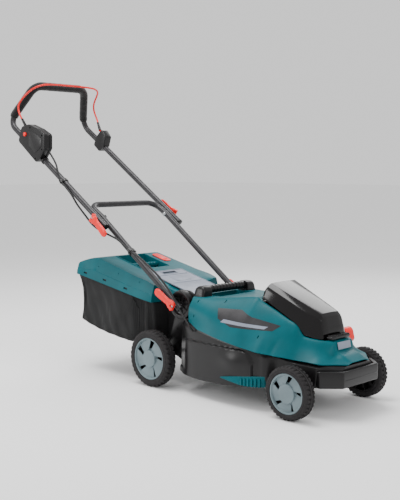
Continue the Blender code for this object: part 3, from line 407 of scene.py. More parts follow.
def rounded(corners, radius, steps=5, closed=True):
    """The corners' path with each corner turned into an arc, shortened where a side is too short."""
    corners = [Vector(c).to_3d() for c in corners]
    count = len(corners)
    path = []
    for i, corner in enumerate(corners):
        if not closed and i in (0, count - 1):
            path.append(corner)
            continue
        back = corners[i - 1] - corner
        ahead = corners[(i + 1) % count] - corner
        half = back.angle(ahead) / 2
        reach = min(radius / math.tan(half), 0.49 * back.length, 0.49 * ahead.length)
        if reach < 1e-5:
            path.append(corner)
            continue
        back.normalize()
        ahead.normalize()
        centre = corner + (back + ahead).normalized() * reach / math.cos(half)
        start = corner + back * reach - centre
        turn = start.rotation_difference(corner + ahead * reach - centre)
        for k in range(steps + 1):
            path.append(centre + Quaternion().slerp(turn, k / steps) @ start)
    return path


def put(name, mesh, slot):
    obj = bpy.data.objects.new(name, mesh)
    bpy.context.scene.collection.objects.link(obj)
    if slot:
        mesh.materials.append(FINISHES[slot])
        obj["finish"] = slot
    return obj


def from_bmesh(name, bm, slot):
    bmesh.ops.remove_doubles(bm, verts=bm.verts, dist=1e-6)
    bmesh.ops.dissolve_degenerate(bm, edges=bm.edges, dist=1e-7)
    bmesh.ops.recalc_face_normals(bm, faces=bm.faces)
    mesh = bpy.data.meshes.new(name)
    bm.to_mesh(mesh)
    bm.free()
    return put(name, mesh, slot)


def surface(name, rows, slot, wrap=False, ring=False, caps=False):
    """A surface through rows of points. wrap joins each row's ends, ring the last row to the first."""
    bm = bmesh.new()
    grid = [[bm.verts.new(point) for point in row] for row in rows]
    width = len(grid[0])
    pairs = list(zip(grid, grid[1:]))
    if ring:
        pairs.append((grid[-1], grid[0]))
    for near, far in pairs:
        for i in range(width if wrap else width - 1):
            j = (i + 1) % width
            bm.faces.new((near[i], far[i], far[j], near[j]))
    if caps:
        bm.faces.new(grid[0])
        bm.faces.new(grid[-1])
    return from_bmesh(name, bm, slot)


def bake(obj):
    """The same piece with its modifiers applied to its mesh."""
    bpy.context.view_layer.update()
    graph = bpy.context.evaluated_depsgraph_get()
    old = obj.data
    obj.data = bpy.data.meshes.new_from_object(obj.evaluated_get(graph))
    obj.modifiers.clear()
    if old.users == 0:
        (bpy.data.meshes if isinstance(old, bpy.types.Mesh) else bpy.data.curves).remove(old)
    return obj


def give_wall(obj, thickness):
    wall = obj.modifiers.new("wall", "SOLIDIFY")
    wall.thickness = thickness
    wall.offset = -1
    return bake(obj)


def thicken(obj, thickness):
    """A wall inside the surface, which faces outwards from its own middle."""
    mesh = obj.data
    middle = sum((v.co for v in mesh.vertices), Vector()) / len(mesh.vertices)
    if sum(face.normal.dot(face.center - middle) * face.area for face in mesh.polygons) < 0:
        mesh.flip_normals()
    return give_wall(obj, thickness)


def mirrored_rows(rows):
    """Half sections from the middle out, carried on to the other side."""
    return [[*[(x, -y, z) for x, y, z in reversed(row[1:])], *row] for row in rows]


def prism(name, outline, low, high, slot=None, plane="XZ"):
    """A flat outline in its plane, from low to high across it."""
    across = ("YZ", "XZ", "XY").index(plane)
    bm = bmesh.new()
    rings = []
    for level in (low, high):
        points = [[p[0], p[1]] for p in outline]
        for point in points:
            point.insert(across, level)
        rings.append([bm.verts.new(point) for point in points])
    near, far = rings
    bm.faces.new(near)
    bm.faces.new(far)
    for i in range(len(outline)):
        j = (i + 1) % len(outline)
        bm.faces.new((near[i], near[j], far[j], far[i]))
    return from_bmesh(name, bm, slot)


def box(name, low, high, slot=None, turn=0.0):
    """A box between two corners, turned about Y through its own centre."""
    middle = (Vector(low) + Vector(high)) / 2
    size = Vector(high) - Vector(low)
    bm = bmesh.new()
    bmesh.ops.create_cube(bm, size=1, matrix=Matrix.Diagonal((*size, 1)))
    bmesh.ops.transform(bm, verts=bm.verts, matrix=Matrix.Translation(middle) @ Matrix.Rotation(turn, 4, "Y"))
    return from_bmesh(name, bm, slot)


def lathe(name, profile, centre, axis, slot=None, steps=48, closed=True):
    """A turned piece. The profile is (radius, height) pairs along the axis."""
    world = standing(centre, axis)
    rows = []
    for k in range(steps):
        angle = math.tau * k / steps
        rows.append([world @ Vector((r * math.cos(angle), r * math.sin(angle), h)) for r, h in profile])
    return surface(name, rows, slot, wrap=closed, ring=True)


def disc(name, radius, centre, axis, length, steps=32):
    """A round bar that starts at centre and runs along axis."""
    profile = [(0, 0), (radius, 0), (radius, length), (0, length)]
    return lathe(name, profile, centre, axis, steps=steps, closed=False)


def spokes(count, low, high, centre, axis, first=0.0):
    """Ribs round an axis, each a box between two corners that lies along +X before it is turned."""
    ribs = []
    for k in range(count):
        rib = box("rib", low, high)
        rib.data.transform(standing(centre, axis) @ Matrix.Rotation(math.tau * k / count + first, 4, "Z"))
        ribs.append(rib)
    return ribs


def sweep(name, path, radius, slot, sides=16, caps=True):
    """A round bar along a path. radius is a number, or a function of the distance along it."""
    path = [Vector(p) for p in path]
    rows = []
    side = None
    travelled = 0.0
    for i, point in enumerate(path):
        ahead = (path[min(i + 1, len(path) - 1)] - path[max(i - 1, 0)]).normalized()
        if side is None:
            side = ahead.orthogonal().normalized()
        side = (side - ahead * side.dot(ahead)).normalized()
        other = ahead.cross(side)
        if i:
            travelled += (point - path[i - 1]).length
        r = radius(travelled) if callable(radius) else radius
        ring = []
        for k in range(sides):
            angle = math.tau * k / sides
            ring.append(point + (side * math.cos(angle) + other * math.sin(angle)) * r)
        rows.append(ring)
    return surface(name, rows, slot, wrap=True, caps=caps)


def carve(obj, *tools, operation="DIFFERENCE"):
    """Takes the tools away from the piece, or joins them to it, and removes them."""
    for tool in tools:
        modifier = obj.modifiers.new("carve", "BOOLEAN")
        modifier.operation = operation
        modifier.solver = "EXACT"
        modifier.object = tool
        bake(obj)
        bpy.data.objects.remove(tool, do_unlink=True)
    return obj


def merge(obj, *others):
    """Adds the others' meshes to the piece as they are."""
    bm = bmesh.new()
    bm.from_mesh(obj.data)
    for other in others:
        other.data.transform(other.matrix_world)
        bm.from_mesh(other.data)
        bpy.data.objects.remove(other, do_unlink=True)
    bm.to_mesh(obj.data)
    bm.free()
    return obj


def round_edges(obj, width, segments, degrees):
    bevel = obj.modifiers.new("rounded_edges", "BEVEL")
    bevel.width = width
    bevel.segments = segments
    bevel.limit_method = "ANGLE"
    bevel.angle_limit = math.radians(degrees)


def soften(obj, width, segments=2, degrees=30):
    """Rounds the edges as a mould does."""
    round_edges(obj, width, segments, degrees)
    return bake(obj)


def shade(obj, degrees):
    obj.data.shade_smooth()
    obj.data.set_sharp_from_angle(angle=math.radians(degrees))


def to_frame(obj, degrees):
    """Shades a finished piece and moves it from the datum to the model's frame."""
    shade(obj, degrees)
    obj.data.transform(Matrix.Translation((-DATUM_SHIFT, 0, 0)))


def settle(obj, body, *nodes, degrees=35):
    """Puts a finished piece in the model's frame, on its body, in place of the nodes it stands for."""
    to_frame(obj, degrees)
    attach(obj, body)
    if nodes:
        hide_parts(*nodes)


def keep_node(name, slot, bevel):
    """A node whose shape is right, with a finer finish."""
    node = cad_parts[name]
    node.data.materials.clear()
    node.data.materials.append(FINISHES[slot])
    for face in node.data.polygons:
        face.material_index = 0
    shade(node, 35)
    if bevel:
        round_edges(node, bevel, 2, 40)


def both_sides(half):
    """A path from the right side, carried on to the left."""
    return [*half, *[(x, -y, z) for x, y, z in reversed(half)]]


# ---------------------------------------------------------------- wheels

def tyre(name, side, hub, wheel_y, radius, rim_radius):
    """A tyre with staggered shoulder lugs, two grooves round its middle and a stepped sidewall."""
    half = TYRE_WIDTH / 2
    lugs, samples, groove_samples = 36, 6, 2
    lug_depth, skew = 0.003, 0.07
    shoulder = [  # radius, distance from the middle, and the share of a lug's depth that is cut there
        (rim_radius, half - 0.0005, 0.0), (rim_radius + 0.0012, half, 0.0), (radius - 0.0125, half, 0.0),
        (radius - 0.0118, half - 0.0012, 0.0), (radius - 0.0075, half - 0.0014, 0.0),
        (radius - 0.0066, half - 0.0022, 0.0), (radius - 0.004, half - 0.003, 0.6),
        (radius - 0.001, half - 0.005, 1.0), (radius, half - 0.0075, 1.0), (radius, 0.0068, 1.0),
        (radius, 0.006, 0.0), (radius - 0.0022, 0.0052, 0.0), (radius - 0.0022, 0.0036, 0.0),
        (radius, 0.0028, 0.0),
    ]
    profile = [*shoulder, *[(r, -w, depth) for r, w, depth in reversed(shoulder)]]
    rows = []
    for k in range(lugs * samples):
        row = []
        for r, w, depth in profile:
            stagger = samples // 2 if w > 0 else 0
            in_groove = (k + stagger) % samples < groove_samples
            angle = math.tau * k / (lugs * samples) + skew * abs(w) / half
            x, z = toward(hub, angle, r - lug_depth * depth * in_groove)
            row.append((x, side * (wheel_y + w), z))
        rows.append(row)
    tread = surface(f"tyre_with_tread_{name}", rows, "tyre_rubber", wrap=True, ring=True)
    settle(tread, f"wheel_{name}_body", f"tyre_{name}")


def hub_cap(name, side, hub, wheel_y, rim_radius):
    """The wheel's face: a raised boss in five blades, each of which dips to an open slot at the next one."""
    half = TYRE_WIDTH / 2
    blades, samples, slot_samples = 5, 26, 5
    first_angle, twist = math.radians(96), 0.2
    boss = 0.0266
    outer = rim_radius - 0.0003
    inner, reach = boss + 0.0016, rim_radius - 0.0075
    radii = [0.0, 0.014, boss - 0.0012, boss, boss + 0.0006, inner]
    radii += [inner + (reach - inner) * k / 8 for k in range(1, 9)]
    radii += [rim_radius - 0.0062, rim_radius - 0.0052, rim_radius - 0.0016, outer]

    def height(r, phase):
        if r <= boss - 0.0012:
            return half - 0.0012 - 0.0004 * r / boss
        if r <= boss:
            return half - 0.0019
        if r < inner:
            return half - 0.004
        if r <= reach:
            return half - 0.0048 - 0.0062 * phase ** 1.4
        if r < rim_radius - 0.0055:
            return half - 0.0046
        return half - (0.0016 if r < outer else 0.0028)

    count = blades * samples
    bm = bmesh.new()
    grid = []
    for k in range(count):
        row = []
        for r in radii:
            sweep_back = twist * math.sin(math.pi * np.clip((r - inner) / (reach - inner), 0, 1) / 2)
            x, z = toward(hub, first_angle + math.tau * k / count - sweep_back, r)
            row.append(bm.verts.new((x, side * (wheel_y + height(r, (k % samples) / samples)), z)))
        grid.append(row)
    for k in range(count):
        near, far = grid[k], grid[(k + 1) % count]
        for i in range(len(radii) - 1):
            in_slot = k % samples >= samples - slot_samples and inner < radii[i] < reach - 0.001
            if not in_slot:
                bm.faces.new((near[i], far[i], far[i + 1], near[i + 1]))
    cap = from_bmesh(f"hub_cap_{name}", bm, "wheel_grey")
    if side * sum(face.normal.y for face in cap.data.polygons) < 0:
        cap.data.flip_normals()
    give_wall(cap, 0.0022)

    centre, outward = at(hub, side * wheel_y), (0, side, 0)
    web_edge = rim_radius - 0.003
    rim = [(outer, half - 0.0032), (outer, 0.002 - half), (rim_radius - 0.0028, 0.0015 - half),
           (rim_radius - 0.004, 0.002 - half), (rim_radius - 0.004, half - 0.0032)]
    sleeve = [(0.013, half - 0.014), (0.013, 0.0015 - half), (0.0115, 0.001 - half), (0.0056, 0.001 - half),
              (0.0056, half - 0.014)]
    web = [(0.012, -0.002), (web_edge, -0.002), (web_edge, 0.0005), (0.012, 0.0005)]
    back = lathe(f"wheel_back_{name}", rim, centre, outward, "deck_black")
    ribs = spokes(10, (0.0125, -0.0011, 0.0015 - half), (rim_radius - 0.0035, 0.0011, -0.001), centre,
                  outward)
    merge(back, lathe("sleeve", sleeve, centre, outward), lathe("web", web, centre, outward), *ribs)
    settle(cap, f"wheel_{name}_body", f"wheel_{name}", degrees=28)
    settle(back, f"wheel_{name}_body")


def wheels():
    for label, side in SIDES.items():
        for end, *sizes in (
            ("front", FRONT_HUB, FRONT_WHEEL_Y, FRONT_RADIUS, FRONT_RIM_RADIUS),
            ("rear", REAR_HUB, REAR_WHEEL_Y, REAR_RADIUS, REAR_RIM_RADIUS),
        ):
            hub, wheel_y, radius, rim_radius = sizes
            tyre(f"{end}_{label}", side, hub, wheel_y, radius, rim_radius)
            hub_cap(f"{end}_{label}", side, hub, wheel_y, rim_radius)


# ---------------------------------------------------------------- deck

HOUSING = (  # x, then y and z of the roof's edge, the shoulder and the hem
    (0.16, 0.13, 0.2155, 0.138, 0.206, 0.144, 0.062),
    (0.2, 0.148, 0.215, 0.16, 0.202, 0.162, 0.056),
    (0.26, 0.163, 0.21, 0.17, 0.196, 0.174, 0.055),
    (0.365, 0.168, 0.193, 0.176, 0.181, 0.181, 0.058),
    (0.45, 0.164, 0.18, 0.171, 0.168, 0.176, 0.064),
    (0.5, 0.152, 0.172, 0.158, 0.16, 0.163, 0.07),
    (0.54, 0.132, 0.16, 0.1375, 0.153, 0.142, 0.075),
    (0.6, 0.115, 0.1475, 0.126, 0.142, 0.134, 0.083),
    (0.66, 0.103, 0.1465, 0.119, 0.139, 0.129, 0.087),
    (0.667, 0.102, 0.146, 0.111, 0.138, 0.119, 0.087),
    (0.7125, 0.058, 0.1435, 0.07, 0.135, 0.078, 0.087),
)
ARCH_X, ARCH_Z, ARCH_RADIUS = 0.473, 0.167, 0.045
WALL_STEPS = 40


def wall_push(x, z, hem_z):
    """How far the deck's side stands out: a dish with an arched edge, a column and the hem's band."""
    ahead, above = x - (ARCH_X - ARCH_RADIUS), z - (ARCH_Z - ARCH_RADIUS)
    if ahead > 0 and above > 0:
        beyond = math.hypot(ahead, above) - ARCH_RADIUS
    else:
        beyond = max(x - ARCH_X, z - ARCH_Z)
    dish = 0.0055 * (1 - smooth_step(beyond, -0.0018, 0.0018)) * smooth_step(x, 0.17, 0.215)
    dish += 0.0085 * swell(x, 0.412, 0.046) * swell(z, 0.128, 0.028)
    column = 0.0065 * swell(x, 0.512, 0.016) * smooth_step(z, 0.08, 0.095)
    band = 0.005 * (1 - smooth_step(z, hem_z + 0.014, hem_z + 0.016)) * (1 - smooth_step(x, 0.4, 0.45))
    return max(dish, band) + column


def deck_housing():
    rows = []
    for x, roof_y, roof_z, shoulder_y, shoulder_z, hem_y, hem_z in through(HOUSING, stations(HOUSING, 0.004)):
        row = [(x, roof_y * share, roof_z) for share in (0, 0.25, 0.5, 0.75, 0.94)]
        corner = flowing([(roof_y * 0.94, roof_z), (roof_y, roof_z - 0.0012), (shoulder_y, shoulder_z)], 3)
        row += [(x, p.x, p.y) for p in corner[1:]]
        for k in range(1, WALL_STEPS + 1):
            t = k / WALL_STEPS
            z = shoulder_z + (hem_z - shoulder_z) * t
            y = shoulder_y + (hem_y - shoulder_y) * t + wall_push(x, z, hem_z) * smooth_step(t, 0.0, 0.08)
            row.append((x, y, z))
        rows.append(row)
    rows.append([(x + 0.001, y, 0.087) for x, y, _ in rows[-1]])
    deck = thicken(surface("deck_shell", mirrored_rows(rows), "deck_black"), SHELL)
    merge(deck, rear_wall(), motor_seat(), *cheeks())
    settle(deck, "mower_body", "deck_housing")


def rear_wall():
    """The wall behind the blade, with the chute's opening and a slot for the link bar."""
    outline = [(-0.141, 0.064), (0.141, 0.064), (0.135, 0.208), (-0.135, 0.208)]
    return carve(
        prism("rear_wall", outline, 0.1605, 0.164, plane="YZ"),
        box("chute", (0.155, -0.088, 0.128), (0.17, 0.088, 0.196)),
        box("link_slot", (0.155, 0.097, 0.13), (0.17, 0.108, 0.156)),
    )


def motor_seat():
    profile = [(0.012, 0.0), (0.053, 0.0), (0.055, 0.002), (0.055, 0.0235), (0.012, 0.0235)]
    return lathe("motor_seat", profile, (BLADE_X, 0, 0.18), (0, 0, 1))


def cheeks():
    """The plates that carry the handle brackets, each with the rear axle's bearing and three stiffeners."""
    outline = rounded(
        [(0.163, 0.068), (0.163, 0.218), (0.192, 0.222), (0.192, 0.307), (0.102, 0.307),
         (0.102, 0.22), (0.074, 0.13), (0.074, 0.094), (0.112, 0.094)],
        0.03, steps=6,
    )
    bearing = [(0.0062, 0.0), (0.0125, 0.0), (0.0125, 0.0075), (0.0062, 0.0075)]
    pieces = []
    for side in SIDES.values():
        pieces.append(soften(prism("cheek", outline, *span(side, 0.108, 0.114)), 0.0012))
        pieces.append(lathe("bearing", bearing, at(REAR_PIVOT, side * AXLE_BORE_Y), (0, side, 0)))
        for x in (0.2, 0.212, 0.224):
            y = side * 0.15
            pieces.append(box("stiffener", (x, y - 0.004, 0.1), (x + 0.003, y + 0.004, 0.195)))
    return pieces


COVER = (  # x, then y and z of the top's edge, the flank and the hem
    (0.165, 0.128, 0.292, 0.156, 0.27, 0.166, 0.213),
    (0.19, 0.132, 0.293, 0.159, 0.27, 0.168, 0.211),
    (0.214, 0.134, 0.2935, 0.16, 0.266, 0.17, 0.209),
    (0.27, 0.12, 0.295, 0.159, 0.26, 0.177, 0.203),
    (0.34, 0.098, 0.302, 0.152, 0.25, 0.182, 0.19),
    (0.417, 0.083, 0.3085, 0.142, 0.242, 0.182, 0.178),
    (0.424, 0.083, 0.3035, 0.141, 0.239, 0.1815, 0.177),
    (0.48, 0.083, 0.2786, 0.128, 0.222, 0.173, 0.169),
    (0.53, 0.083, 0.2564, 0.115, 0.205, 0.152, 0.161),
    (0.56, 0.083, 0.2435, 0.107, 0.196, 0.136, 0.157),
    (0.585, 0.08, 0.213, 0.098, 0.186, 0.124, 0.153),
    (0.633, 0.063, 0.205, 0.085, 0.178, 0.1155, 0.1515),
    (0.662, 0.042, 0.201, 0.062, 0.171, 0.1125, 0.1505),
    (0.667, 0.04, 0.177, 0.056, 0.164, 0.108, 0.15),
    (0.69, 0.038, 0.167, 0.05, 0.158, 0.08, 0.149),
    (0.716, 0.036, 0.152, 0.044, 0.15, 0.05, 0.148),
)


def cover_rows():
    rows = []
    for x, top_y, top_z, flank_y, flank_z, hem_y, hem_z in through(COVER, stations(COVER, 0.005)):
        row = [(x, top_y * share, top_z) for share in (0, 0.3, 0.6)]
        crease = 0.003 * swell(x, 0.486, 0.012) - 0.0026 * swell(x, 0.522, 0.006)
        section = [(top_y * 0.86, top_z), (top_y, top_z - 0.001), (flank_y, flank_z), (hem_y, hem_z)]
        for point in flowing(section, 9):
            low = 1 - smooth_step(point.y, hem_z + 0.01, flank_z + 0.01)
            row.append((x, point.x + crease * low, point.y))
        rows.append(row)
    rear = [(x - 0.001, y, min(z, 0.222)) for x, y, z in rows[0]]
    return [rear, *rows]


REAR_CORNER = (  # what is cut away behind the handle brackets
    (0.1, 0.1), (0.262, 0.1), (0.262, 0.2035), (0.253, 0.207), (0.2165, 0.2225),
    (0.2115, 0.262), (0.2095, 0.285), (0.195, 0.3), (0.1, 0.3),
)


def deck_cover():
    cover = thicken(surface("cover_shell", mirrored_rows(cover_rows()), "cover_teal"), SHELL)
    half = [(0.4275, 0.0778), (0.574, 0.0778), (0.586, 0.0735), (0.62, 0.059), (0.6395, 0.052)]
    bay_outline = rounded([*half, *mirrored(half)], 0.004, steps=3)
    carve(cover, box("recess_block", (0.186, -0.08, 0.258), (0.268, 0.08, 0.2925)), operation="UNION")
    hollow = soften(box("recess", (0.19, -0.076, 0.262), (0.264, 0.076, 0.33)), 0.004)
    carve(cover, prism("bay", bay_outline, 0.15, 0.4, plane="XY"), hollow)
    for side in SIDES.values():
        carve(cover, disc("bracket_clearance", 0.0521, at(LOWER_PIVOT, side * 0.1067), (0, side, 0), 0.1,
                          steps=64))
        low, high = span(side, 0.105, 0.2)
        carve(cover, prism("rear_corner", REAR_CORNER, low, high))
        for x, z in ((0.472, 0.206), (0.234, 0.284), (0.322, 0.29), (0.237, 0.242)):
            carve(cover, box("screw_slot", (x - 0.0014, low, z - 0.004), (x + 0.0014, high, z + 0.004)))
    decals(cover)
    settle(cover, "mower_body", "deck_cover", degrees=32)


def decals(cover):
    """Blank plates printed on both flanks: a grey field with a plain pale stripe in it, and no words."""
    field = [(0.3131, 0.2716), (0.3923, 0.273), (0.4308, 0.2556), (0.519, 0.2378), (0.5009, 0.2226),
             (0.3779, 0.2251), (0.3283, 0.2435)]
    stripe = [(0.348, 0.244), (0.486, 0.233), (0.478, 0.2262), (0.34, 0.2352)]
    plates = (("field", field, 0.0003, "tube_paint"), ("stripe", stripe, 0.0006, "flap_grey"))
    for name, side in SIDES.items():
        for part, outline, lift, slot in plates:
            mesh = cover.data.copy()
            mesh.materials.clear()
            grown = bmesh.new()
            grown.from_mesh(mesh)
            for vert in grown.verts:
                vert.co += vert.normal * lift
            grown.to_mesh(mesh)
            grown.free()
            skin = put(f"decal_{part}_{name}", mesh, slot)
            carve(skin, prism("mask", outline, *span(side, 0.1, 0.2)), operation="INTERSECT")
            settle(skin, "mower_body")


def front_bumper():
    outer = [(0.6676, 0.1297), (0.676, 0.1285), (0.7255, 0.084)]
    inner = [(0.714, 0.0785), (0.6682, 0.12)]
    outline = [*outer, *mirrored(outer), *mirrored(inner), *inner]
    bumper = soften(prism("bumper_bar", outline, 0.087, 0.134, "deck_black", plane="XY"), 0.0035, segments=3)
    step = soften(box("step", (0.719, -0.078, 0.1075), (0.7262, 0.078, 0.1095)), 0.0008)
    merge(bumper, step)
    settle(bumper, "mower_body", "front_bumper")


def carry_handle():
    """A ridged grip between two rounded posts, whose outer skirts run down the cover's shoulders."""
    middle_x, middle_z, half_length = 0.214, 0.312, 0.11
    foot_z, low_z = 0.292, 0.278
    path = [(middle_x, y, middle_z) for y in np.linspace(-half_length, half_length, 221)]

    def grip_radius(travelled):
        middle = travelled - half_length
        ridged = abs(middle) < 0.068 and (middle + 0.068) % 0.015 < 0.0045
        return 0.0108 if ridged else 0.0124

    handle = sweep("carry_grip", path, grip_radius, "deck_black", sides=28)
    corners = [(0.1935, foot_z), (0.1935, 0.3248), (0.2345, 0.3248), (0.2345, foot_z)]
    top = rounded(corners, 0.015, steps=7, closed=False)
    sections = (  # distance from the middle, drop of the top, and spread to the front and the rear
        (0.0838, 0.0, 0.0), (0.085, 0.0, 0.0006), (0.09, 0.0, 0.0008), (0.106, 0.0, 0.0008),
        (0.112, 0.0008, 0.0005), (0.116, 0.003, 0.0), (0.1185, 0.009, 0.0), (0.1215, 0.02, 0.0006),
        (0.1245, 0.028, 0.001),
    )
    posts = []
    for side in SIDES.values():
        rows = []
        for y, drop, spread in sections:
            row = []
            for p in top:
                z = max(p.y - drop, low_z) if p.y > foot_z + 0.0005 else low_z
                row.append((middle_x + (p.x - middle_x) * (1 + spread * 20), side * y, z))
            rows.append(row)
        posts.append(surface("post", rows, None, caps=True))
    merge(handle, *posts)
    settle(handle, "mower_body", "carry_handle", degrees=40)


def handle_brackets():
    """Round brackets that hold the lower tubes, dished and ribbed round the pivot."""
    profile = [(0.0038, 0.018), (0.011, 0.018), (0.012, 0.0165), (0.027, 0.0165), (0.03, 0.0185),
               (0.0325, 0.0218), (0.034, 0.0226), (0.042, 0.0226), (0.0442, 0.0216), (0.045, 0.0195),
               (0.045, 0.0), (0.0038, 0.0)]
    for name, side in SIDES.items():
        start, outward = at(LOWER_PIVOT, side * 0.1143), (0, side, 0)
        bracket = lathe(f"round_bracket_{name}", profile, start, outward, "deck_black", steps=72)
        merge(bracket, *spokes(8, (0.0115, -0.0008, 0.015), (0.031, 0.0008, 0.0188), start, outward, 0.2))
        settle(bracket, "mower_body", f"handle_bracket_{name}")


COMB = (  # x, y, then the strip's lower and upper edges
    (0.368, 0.1814, 0.079, 0.0815), (0.405, 0.1797, 0.073, 0.088), (0.45, 0.1768, 0.0665, 0.094),
    (0.5, 0.1638, 0.068, 0.099), (0.512, 0.1577, 0.069, 0.1),
)


def grass_combs():
    """A strip along the hem whose front end carries the comb's teeth."""
    def on_band(xs):
        """The strip's rows at xs, moved out where the hem's band stands behind them."""
        for x, y, low, high in through(COMB, xs):
            yield x, y + 0.0052 * (1 - smooth_step(x, 0.4, 0.45)), low, high

    for name, side in SIDES.items():
        rows = []
        for x, y, low, high in on_band(stations(COMB, 0.005)):
            section = ((0.0, low), (0.004, low), (0.005, low + 0.001),
                       (0.005, high - 0.001), (0.004, high), (0.0, high))
            rows.append([(x, side * (y + out), z) for out, z in section])
        comb = surface(f"comb_strip_{name}", rows, "cover_teal", wrap=True, caps=True)
        teeth = []
        for x, y, low, high in on_band([0.44 + 0.0115 * k for k in range(6)]):
            middle = side * (y + 0.0055)
            tooth = box("tooth", (x, middle - 0.003, low + 0.0005),
                        (x + 0.0055, middle + 0.003, high - 0.006))
            teeth.append(soften(tooth, 0.0009))
        merge(comb, *teeth)
        settle(comb, "mower_body", f"grass_comb_{name}")


def discharge_flap():
    """The flap over the chute, with a raised border, ribs near its rear edge and a finger slot."""
    start, end = Vector((-0.061, 0.343)), Vector((0.145, 0.2905))
    length = (end - start).length
    along = (end - start).normalized()
    up = Vector((-along.y, along.x))
    edge = length - 0.004

    def bar(name, first, last, low, high, half, middle=0.0, slot=None):
        """A straight bar on the flap, placed by its distances down the slope, above it and across it."""
        corners = [start + along * first + up * low, start + along * last + up * low,
                   start + along * last + up * high, start + along * first + up * high]
        return prism(name, corners, middle - half, middle + half, slot)

    flap = bar("flap_plate", 0.0, length, -0.003, -0.0006, 0.077, slot="flap_grey")
    carve(flap, bar("finger_slot", 0.014, 0.028, -0.006, 0.006, 0.03))
    details = [
        soften(bar(name, *place), 0.0006)
        for name, *place in (
            ("border", 0.0, 0.003, -0.001, 0.0006, 0.077), ("border", edge, length, -0.001, 0.0006, 0.077),
            ("ridge", 0.04, 0.0425, -0.001, 0.0006, 0.066), ("step", 0.11, 0.1125, -0.001, 0.0004, 0.066),
            ("border", 0.0, length, -0.001, 0.0006, 0.0015, 0.0755),
            ("border", 0.0, length, -0.001, 0.0006, 0.0015, -0.0755),
            ("slot_lip", 0.0115, 0.014, -0.003, 0.0012, 0.033),
            ("slot_lip", 0.028, 0.03, -0.003, 0.0012, 0.033),
            ("slot_end", 0.0115, 0.03, -0.003, 0.0012, 0.0015, 0.0315),
            ("slot_end", 0.0115, 0.03, -0.003, 0.0012, 0.0015, -0.0315),
            ("blank_plate", 0.055, 0.096, -0.001, 0.0002, 0.034),
        )
    ]
    barrel = disc("barrel", 0.0052, at(FLAP_HINGE, -0.07), (0, 1, 0), 0.14, steps=28)
    web = box("web", (0.14, -0.07, 0.2868), (0.1545, 0.07, 0.29))
    merge(flap, *details, barrel, web)
    settle(flap, "discharge_flap_body", "discharge_flap", degrees=30)


# ---------------------------------------------------------------- battery bay

LID = (  # x, then y and z of the top's edge, the chamfer and the hem
    (0.4335, 0.062, 0.33, 0.0735, 0.324, 0.08, 0.3045),
    (0.438, 0.058, 0.343, 0.0715, 0.334, 0.08, 0.3035),
    (0.446, 0.056, 0.35, 0.07, 0.34, 0.08, 0.302),
    (0.56, 0.046, 0.3, 0.0645, 0.288, 0.0815, 0.246),
    (0.585, 0.044, 0.289, 0.062, 0.276, 0.077, 0.2165),
    (0.615, 0.041, 0.2752, 0.053, 0.266, 0.0645, 0.209),
    (0.6225, 0.042, 0.265, 0.05, 0.257, 0.062, 0.2085),
)


def battery_lid():
    """The smoked lid: a sloping top between two long chamfers, with a turned-down nose."""
    crown = 0.0015
    rear = [(0.431, 0, 0.3075), (0.431, 0.034, 0.3075), (0.431, 0.066, 0.3075),
            (0.431, 0.0735, 0.307), (0.431, 0.08, 0.305)]
    nose = [(0.633, 0, 0.2085), (0.633, 0.02, 0.2085), (0.633, 0.04, 0.2085),
            (0.6325, 0.05, 0.2085), (0.631, 0.059, 0.2082)]
    rows = [rear]
    for x, top_y, top_z, chamfer_y, chamfer_z, hem_y, hem_z in LID:
        rows.append([(x, 0, top_z + crown), (x, top_y * 0.55, top_z + crown * 0.7), (x, top_y, top_z),
                     (x, chamfer_y, chamfer_z), (x, hem_y, hem_z)])
    rows.append(nose)
    lid = thicken(surface("smoked_cover", mirrored_rows(rows), "smoked_lid"), 0.0025)
    soften(lid, 0.0016, segments=3, degrees=12)
    settle(lid, "battery_lid_body", "battery_lid", degrees=22)
    bar = box("lid_hinge_bar", (0.4318, -0.07, 0.3085), (0.4372, 0.07, 0.315), "control_red")
    settle(soften(bar, 0.0012), "battery_lid_body")


def lid_latch():
    """The latch in front of the lid, ribbed for a thumb, and the blank plate on the nose below it."""
    bar = box("latch_bar", (0.6365, -0.044, 0.2068), (0.657, 0.044, 0.215), "deck_black")
    latch = soften(bar, 0.0025, segments=3)
    ribs = []
    for k in range(12):
        y = -0.0385 + 0.007 * k
        ribs.append(soften(box("rib", (0.6385, y - 0.0015, 0.212), (0.656, y + 0.0015, 0.218)), 0.0009))
    merge(latch, *ribs)
    settle(latch, "lid_latch_body", "lid_latch")
    plate = box("nose_plate", (0.6655, -0.03, 0.1795), (0.6682, 0.03, 0.2), "flap_grey", turn=-0.19)
    settle(soften(plate, 0.0007), "mower_body")


# ---------------------------------------------------------------- height adjustment

def height_lever():
    """A flat arm on the axle's end that rises to a hooked thumb piece over the wheel."""
    pivot, root, top = Vector(FRONT_PIVOT), Vector((0.568, 0.16)), Vector((0.559, 0.201))
    along = (root - pivot).normalized()
    across = Vector((-along.y, along.x)) * 0.007
    foot = pivot - along * 0.01
    corners = [foot + across * 1.6, foot - across * 1.6, root - across, top - across, top + across,
               root + across]
    lever = prism("lever_arm", rounded(corners, 0.006), 0.1355, 0.141, "control_red")
    carve(lever, disc("bore", 0.0054, at(FRONT_PIVOT, 0.12), (0, 1, 0), 0.04))
    soften(lever, 0.001)
    hook = [(0.556, 0.164), (0.57, 0.161), (0.5772, 0.17), (0.5745, 0.185), (0.5715, 0.196),
            (0.565, 0.2035), (0.556, 0.2055), (0.548, 0.202), (0.5505, 0.1935), (0.558, 0.19),
            (0.5595, 0.18), (0.5545, 0.174)]
    thumb = soften(prism("thumb", flowing(hook, 4, closed=True), 0.1455, 0.185), 0.0022, segments=3)
    bridge = soften(box("bridge", (0.5545, 0.137, 0.186), (0.566, 0.148, 0.196)), 0.0015)
    merge(lever, thumb, bridge)
    settle(lever, "front_crank", "height_lever")


# ---------------------------------------------------------------- grass box

